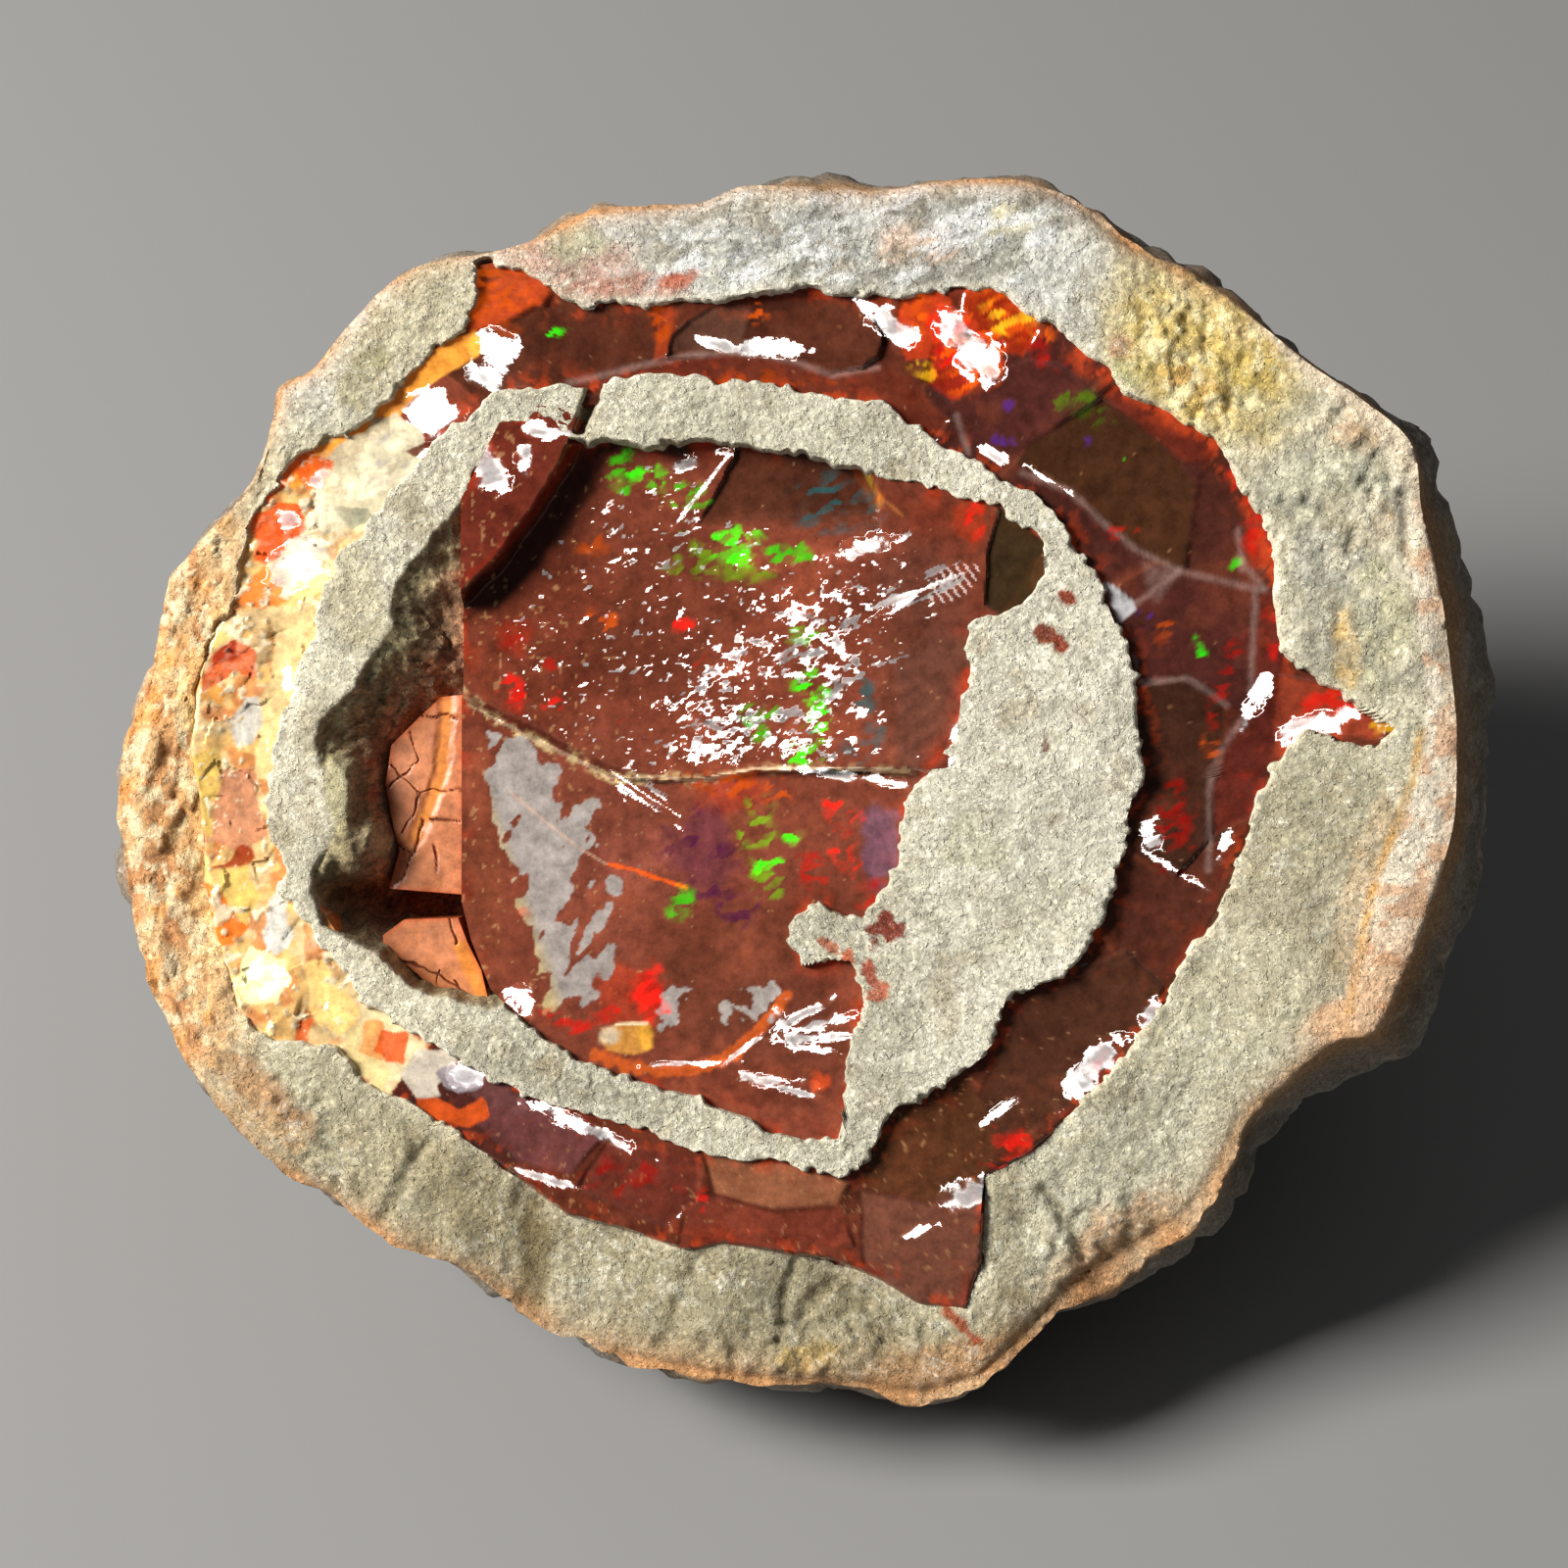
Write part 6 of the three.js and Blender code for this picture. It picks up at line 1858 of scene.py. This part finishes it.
def build_block(name, outline, top, material):
    centre = np.mean(outline, axis=0)
    edge = spaced(outline, BLOCK_COLUMNS)
    shell = Shell()
    shell.pole((*centre, top))
    for row in range(1, BLOCK_ROWS + 1):
        ring = centre + (edge - centre) * row / BLOCK_ROWS
        shell.loop(np.column_stack([ring, block_height(ring, top)]))
    shell.loop(np.column_stack([edge, np.full(BLOCK_COLUMNS, -BLOCK_FOOT)]))
    shell.pole((*centre, -BLOCK_FOOT))
    points = np.vstack(shell.points)
    return add_mesh(name, points, shell.faces, block_paint(points[:, :2], outline), material, 45)


def block_paint(points, outline):
    """Orange-brown opal, painted darker at the left as the pit wall's shadow, with the amber seams and the
    cracks.
    """
    paint = Paint(len(points), tint(204, 128, 86), 0.4)
    paint.shade(0.95 + 0.2 * layered(points, 1.6, 3, 127))
    # Painted shadow at the blocks' left, where the pit's wall shades them.
    paint.cover(smoothstep(-points[:, 0], 19.8, 21.6) * 0.35, tint(132, 72, 46))
    paint.cover(smoothstep(-points[:, 1], 8.6, 10.6) * 0.5, tint(222, 140, 84))
    seam = stroke(points, AMBER_SEAM, 0.3, soft=0.8, seed=128)
    paint.cover(seam * 0.8, tint(228, 142, 58), glow=HOT_ORANGE * 0.03)
    paint.cover(stroke(points, LOWER_SEAM, 0.4, seed=129) * 0.85, tint(236, 146, 56))
    paint.cover(np.exp(-np.abs(inside_by(points, outline)) / 0.14) * 0.7, tint(196, 84, 34))
    paint.cover(block_cracks(points) * 0.9, tint(98, 38, 20))
    return paint


def block_cracks(points):
    """1 along the cracks of the blocks."""
    bent = points + 0.25 * drift(points, 0.8, 2, 132)
    return np.max([stroke(bent, line, 0.04, soft=0.7, ragged=0.9, seed=131) for line in BLOCK_CRACKS], axis=0)


def block_height(points, top):
    seam = stroke(points, AMBER_SEAM, 0.4, soft=0.5, seed=128)
    tilt = 0.06 * (points[:, 0] + 19.5) + 0.12 * layered(points, 1.8, 2, 130)
    return top + tilt - 0.12 * seam - 0.12 * block_cracks(points)


# Materials

def add_node(tree, kind, inputs=None, **settings):
    """Adds a shader node. Inputs that are sockets are linked, and the others are set."""
    node = tree.nodes.new(kind)
    for name, value in settings.items():
        setattr(node, name, value)
    for name, value in (inputs or {}).items():
        socket = node.inputs[name]
        if isinstance(value, bpy.types.NodeSocket):
            tree.links.new(value, socket)
        else:
            socket.default_value = value
    return node


def new_material(name):
    """An empty material, its node tree, and the place on the object in millimetres."""
    material = bpy.data.materials.new(name)
    material.use_nodes = True
    tree = material.node_tree
    tree.nodes.clear()
    place = add_node(tree, "ShaderNodeTexCoord").outputs["Object"]
    return material, tree, vector_maths(tree, "SCALE", {0: place, "Scale": PER_METRE})


def painted(tree, name, output="Color"):
    """One of the values that add_mesh puts on the points."""
    return add_node(tree, "ShaderNodeAttribute", attribute_name=name).outputs[output]


def finish_material(tree, shader):
    out = add_node(tree, "ShaderNodeOutputMaterial")
    tree.links.new(shader.outputs["BSDF"], out.inputs["Surface"])


def ramp(tree, value, low, high, first, last):
    """A value between two limits as a share of the way between two others."""
    return add_node(tree, "ShaderNodeMapRange", {
        "Value": value, "From Min": low, "From Max": high, "To Min": first, "To Max": last,
    }).outputs["Result"]


def maths(tree, operation, *values):
    """A number computed from one or two others."""
    return add_node(tree, "ShaderNodeMath", dict(enumerate(values)), operation=operation).outputs["Value"]


def vector_maths(tree, operation, inputs, output="Vector"):
    return add_node(tree, "ShaderNodeVectorMath", inputs, operation=operation).outputs[output]


def fine_noise(tree, place, scale, detail, roughness=0.5):
    """Fine noise from 0 to 1."""
    sizes = {"Vector": place, "Scale": scale, "Detail": detail, "Roughness": roughness}
    return add_node(tree, "ShaderNodeTexNoise", sizes).outputs["Fac"]


def tone(tree, colour, factor):
    """A colour made lighter or darker by a factor."""
    return vector_maths(tree, "SCALE", {0: colour, "Scale": factor})


def glinting_crystals(tree, place):
    """Small bright dots, on some of the cells alone: pale crystals, lightened as painted glints."""
    crystals = add_node(tree, "ShaderNodeTexVoronoi", {"Vector": place, "Scale": 3.6})
    near = ramp(tree, crystals.outputs["Distance"], 0.5, 0.3, 0.0, 1.0)
    chosen = ramp(tree, crystals.outputs["Color"], 0.6, 0.72, 0.0, 0.7)
    return maths(tree, "MULTIPLY", near, chosen)


def winding_threads(tree, place):
    """Fine winding lines, in some parts alone."""
    off = maths(tree, "SUBTRACT", fine_noise(tree, place, 1.5, 4.0, 0.65), 0.5)
    line = ramp(tree, maths(tree, "ABSOLUTE", off), 0.034, 0.012, 0.0, 1.0)
    kept = ramp(tree, fine_noise(tree, place, 2.1, 1.0), 0.42, 0.5, 0.0, 1.0)
    return maths(tree, "MULTIPLY", line, kept)


def rock_material(name):
    """Granular volcanic rock: mottled grain, fine cream-coloured threads and small bright crystals with
    painted glints.
    """
    material, tree, place = new_material(name)
    fine = fine_noise(tree, place, 3.4, 5.0, 0.7)
    thread = winding_threads(tree, place)
    # The crystals' painted glints and the threads lighten the colour.
    bright = maths(tree, "MAXIMUM", glinting_crystals(tree, place), thread)
    toned = tone(tree, painted(tree, "colour"), ramp(tree, fine, 0.36, 0.62, 0.7, 1.16))
    speckled = tone(tree, toned, ramp(tree, bright, 0.0, 1.0, 1.0, 1.6))
    rough = maths(tree, "ADD", fine, thread)
    bump = add_node(tree, "ShaderNodeBump", {"Height": rough, "Strength": 0.9, "Distance": 0.00016})
    shader = add_node(tree, "ShaderNodeBsdfPrincipled", {
        "Base Color": speckled, "Roughness": painted(tree, "finish", "Fac"),
        "Normal": bump.outputs["Normal"], "Specular IOR Level": 0.3,
    })
    finish_material(tree, shader)
    return material


def chip_normal(tree):
    """The surface's normal, turned to the painted facing as far as that is painted."""
    facing = painted(tree, "facing", "Vector")
    turned_way = add_node(tree, "ShaderNodeVectorTransform", {"Vector": facing}, vector_type="VECTOR",
                          convert_from="OBJECT", convert_to="WORLD").outputs["Vector"]
    rest = maths(tree, "SUBTRACT", 1.0, vector_maths(tree, "LENGTH", {0: facing}, "Value"))
    own = add_node(tree, "ShaderNodeNewGeometry").outputs["Normal"]
    weak = vector_maths(tree, "SCALE", {0: own, "Scale": rest})
    return vector_maths(tree, "NORMALIZE", {0: vector_maths(tree, "ADD", {0: weak, 1: turned_way})})


def opal_material(name):
    """Glassy opal: clouded colour, the painted glow of thin edges and play of colour, and a polish."""
    material, tree, place = new_material(name)
    mottle = ramp(tree, fine_noise(tree, place, 1.3, 6.0, 0.72), 0.32, 0.68, 0.62, 1.34)
    bump = add_node(tree, "ShaderNodeBump", {
        "Height": fine_noise(tree, place, 2.4, 2.0), "Strength": 0.2, "Distance": 0.0001,
        "Normal": chip_normal(tree),
    })
    shader = add_node(tree, "ShaderNodeBsdfPrincipled", {
        "Base Color": tone(tree, painted(tree, "colour"), mottle),
        "Roughness": painted(tree, "finish", "Fac"),
        "Normal": bump.outputs["Normal"], "IOR": 1.45, "Emission Color": painted(tree, "glow"),
        "Emission Strength": 1.0,
    })
    finish_material(tree, shader)
    return material


# Camera, light and floor

def look_from(obj, place, target, up):
    """Places an object and turns its -Z axis to a target, with its Y axis up."""
    back = (Vector(place) - Vector(target)).normalized()
    side = Vector(up).cross(back).normalized()
    obj.matrix_world = Matrix((side, back.cross(side), back)).transposed().to_4x4()
    obj.location = place


def add_camera():
    data = bpy.data.cameras.new("camera")
    data.lens, data.sensor_width, data.clip_start = LENS, SENSOR_WIDTH, NEAREST_SEEN
    camera = bpy.data.objects.new("camera", data)
    bpy.context.scene.collection.objects.link(camera)
    target = to_part(CAMERA_AT * (1, 1, 0))
    up = to_part(CAMERA_AT * (1, 1, 0) + (0, 1, 0)) - target
    look_from(camera, to_part(CAMERA_AT), target, up)
    bpy.context.scene.camera = camera


def add_light(name, at, size, power, colour=(1, 1, 1)):
    """A square lamp at a place in face coordinates, turned to the face's middle."""
    data = bpy.data.lights.new(name, "AREA")
    data.size, data.energy, data.color = size, power, colour
    light = bpy.data.objects.new(name, data)
    bpy.context.scene.collection.objects.link(light)
    look_from(light, to_part(at), to_part(np.zeros(3)), (0.1, 0.2, 1))


def add_sky():
    world = bpy.data.worlds.new("studio")
    world.use_nodes = True
    back = world.node_tree.nodes["Background"]
    back.inputs["Color"].default_value = SKY_COLOUR
    back.inputs["Strength"].default_value = SKY_STRENGTH
    bpy.context.scene.world = world


def add_floor():
    mesh = bpy.data.meshes.new("floor")
    signs = [(-1, -1), (1, -1), (1, 1), (-1, 1)]
    mesh.from_pydata([(a * FLOOR_HALF, b * FLOOR_HALF, FLOOR_LEVEL) for a, b in signs], [], [(0, 1, 2, 3)])
    floor = bpy.data.objects.new("floor", mesh)
    bpy.context.scene.collection.objects.link(floor)
    paper = bpy.data.materials.new("pale_paper")
    paper.use_nodes = True
    shader = paper.node_tree.nodes["Principled BSDF"]
    shader.inputs["Base Color"].default_value = PAPER_COLOUR
    shader.inputs["Roughness"].default_value = PAPER_ROUGHNESS
    mesh.materials.append(paper)


bpy.context.scene.view_settings.view_transform = "Standard"
add_camera()
add_light("key", KEY_AT, KEY_SIZE, KEY_POWER, KEY_COLOUR)
add_light("fill", FILL_AT, FILL_SIZE, FILL_POWER)
add_sky()
add_floor()

rock = rock_material("volcanic_rock")
opal = opal_material("brown_opal")
keep_piece(build_host(rock), "host_rock")
keep_piece(build_ring(opal), "opal_ring")
keep_piece(build_inner(rock), "inner_rock")
keep_piece(build_core(opal), "opal_core")
upper = build_block("cracked_block_upper", UPPER_BLOCK, UPPER_TOP, opal)
lower = build_block("cracked_block_lower", LOWER_BLOCK, LOWER_TOP, opal)
keep_piece(upper, "cracked_opal_upper")
keep_piece(lower, "cracked_opal_lower")
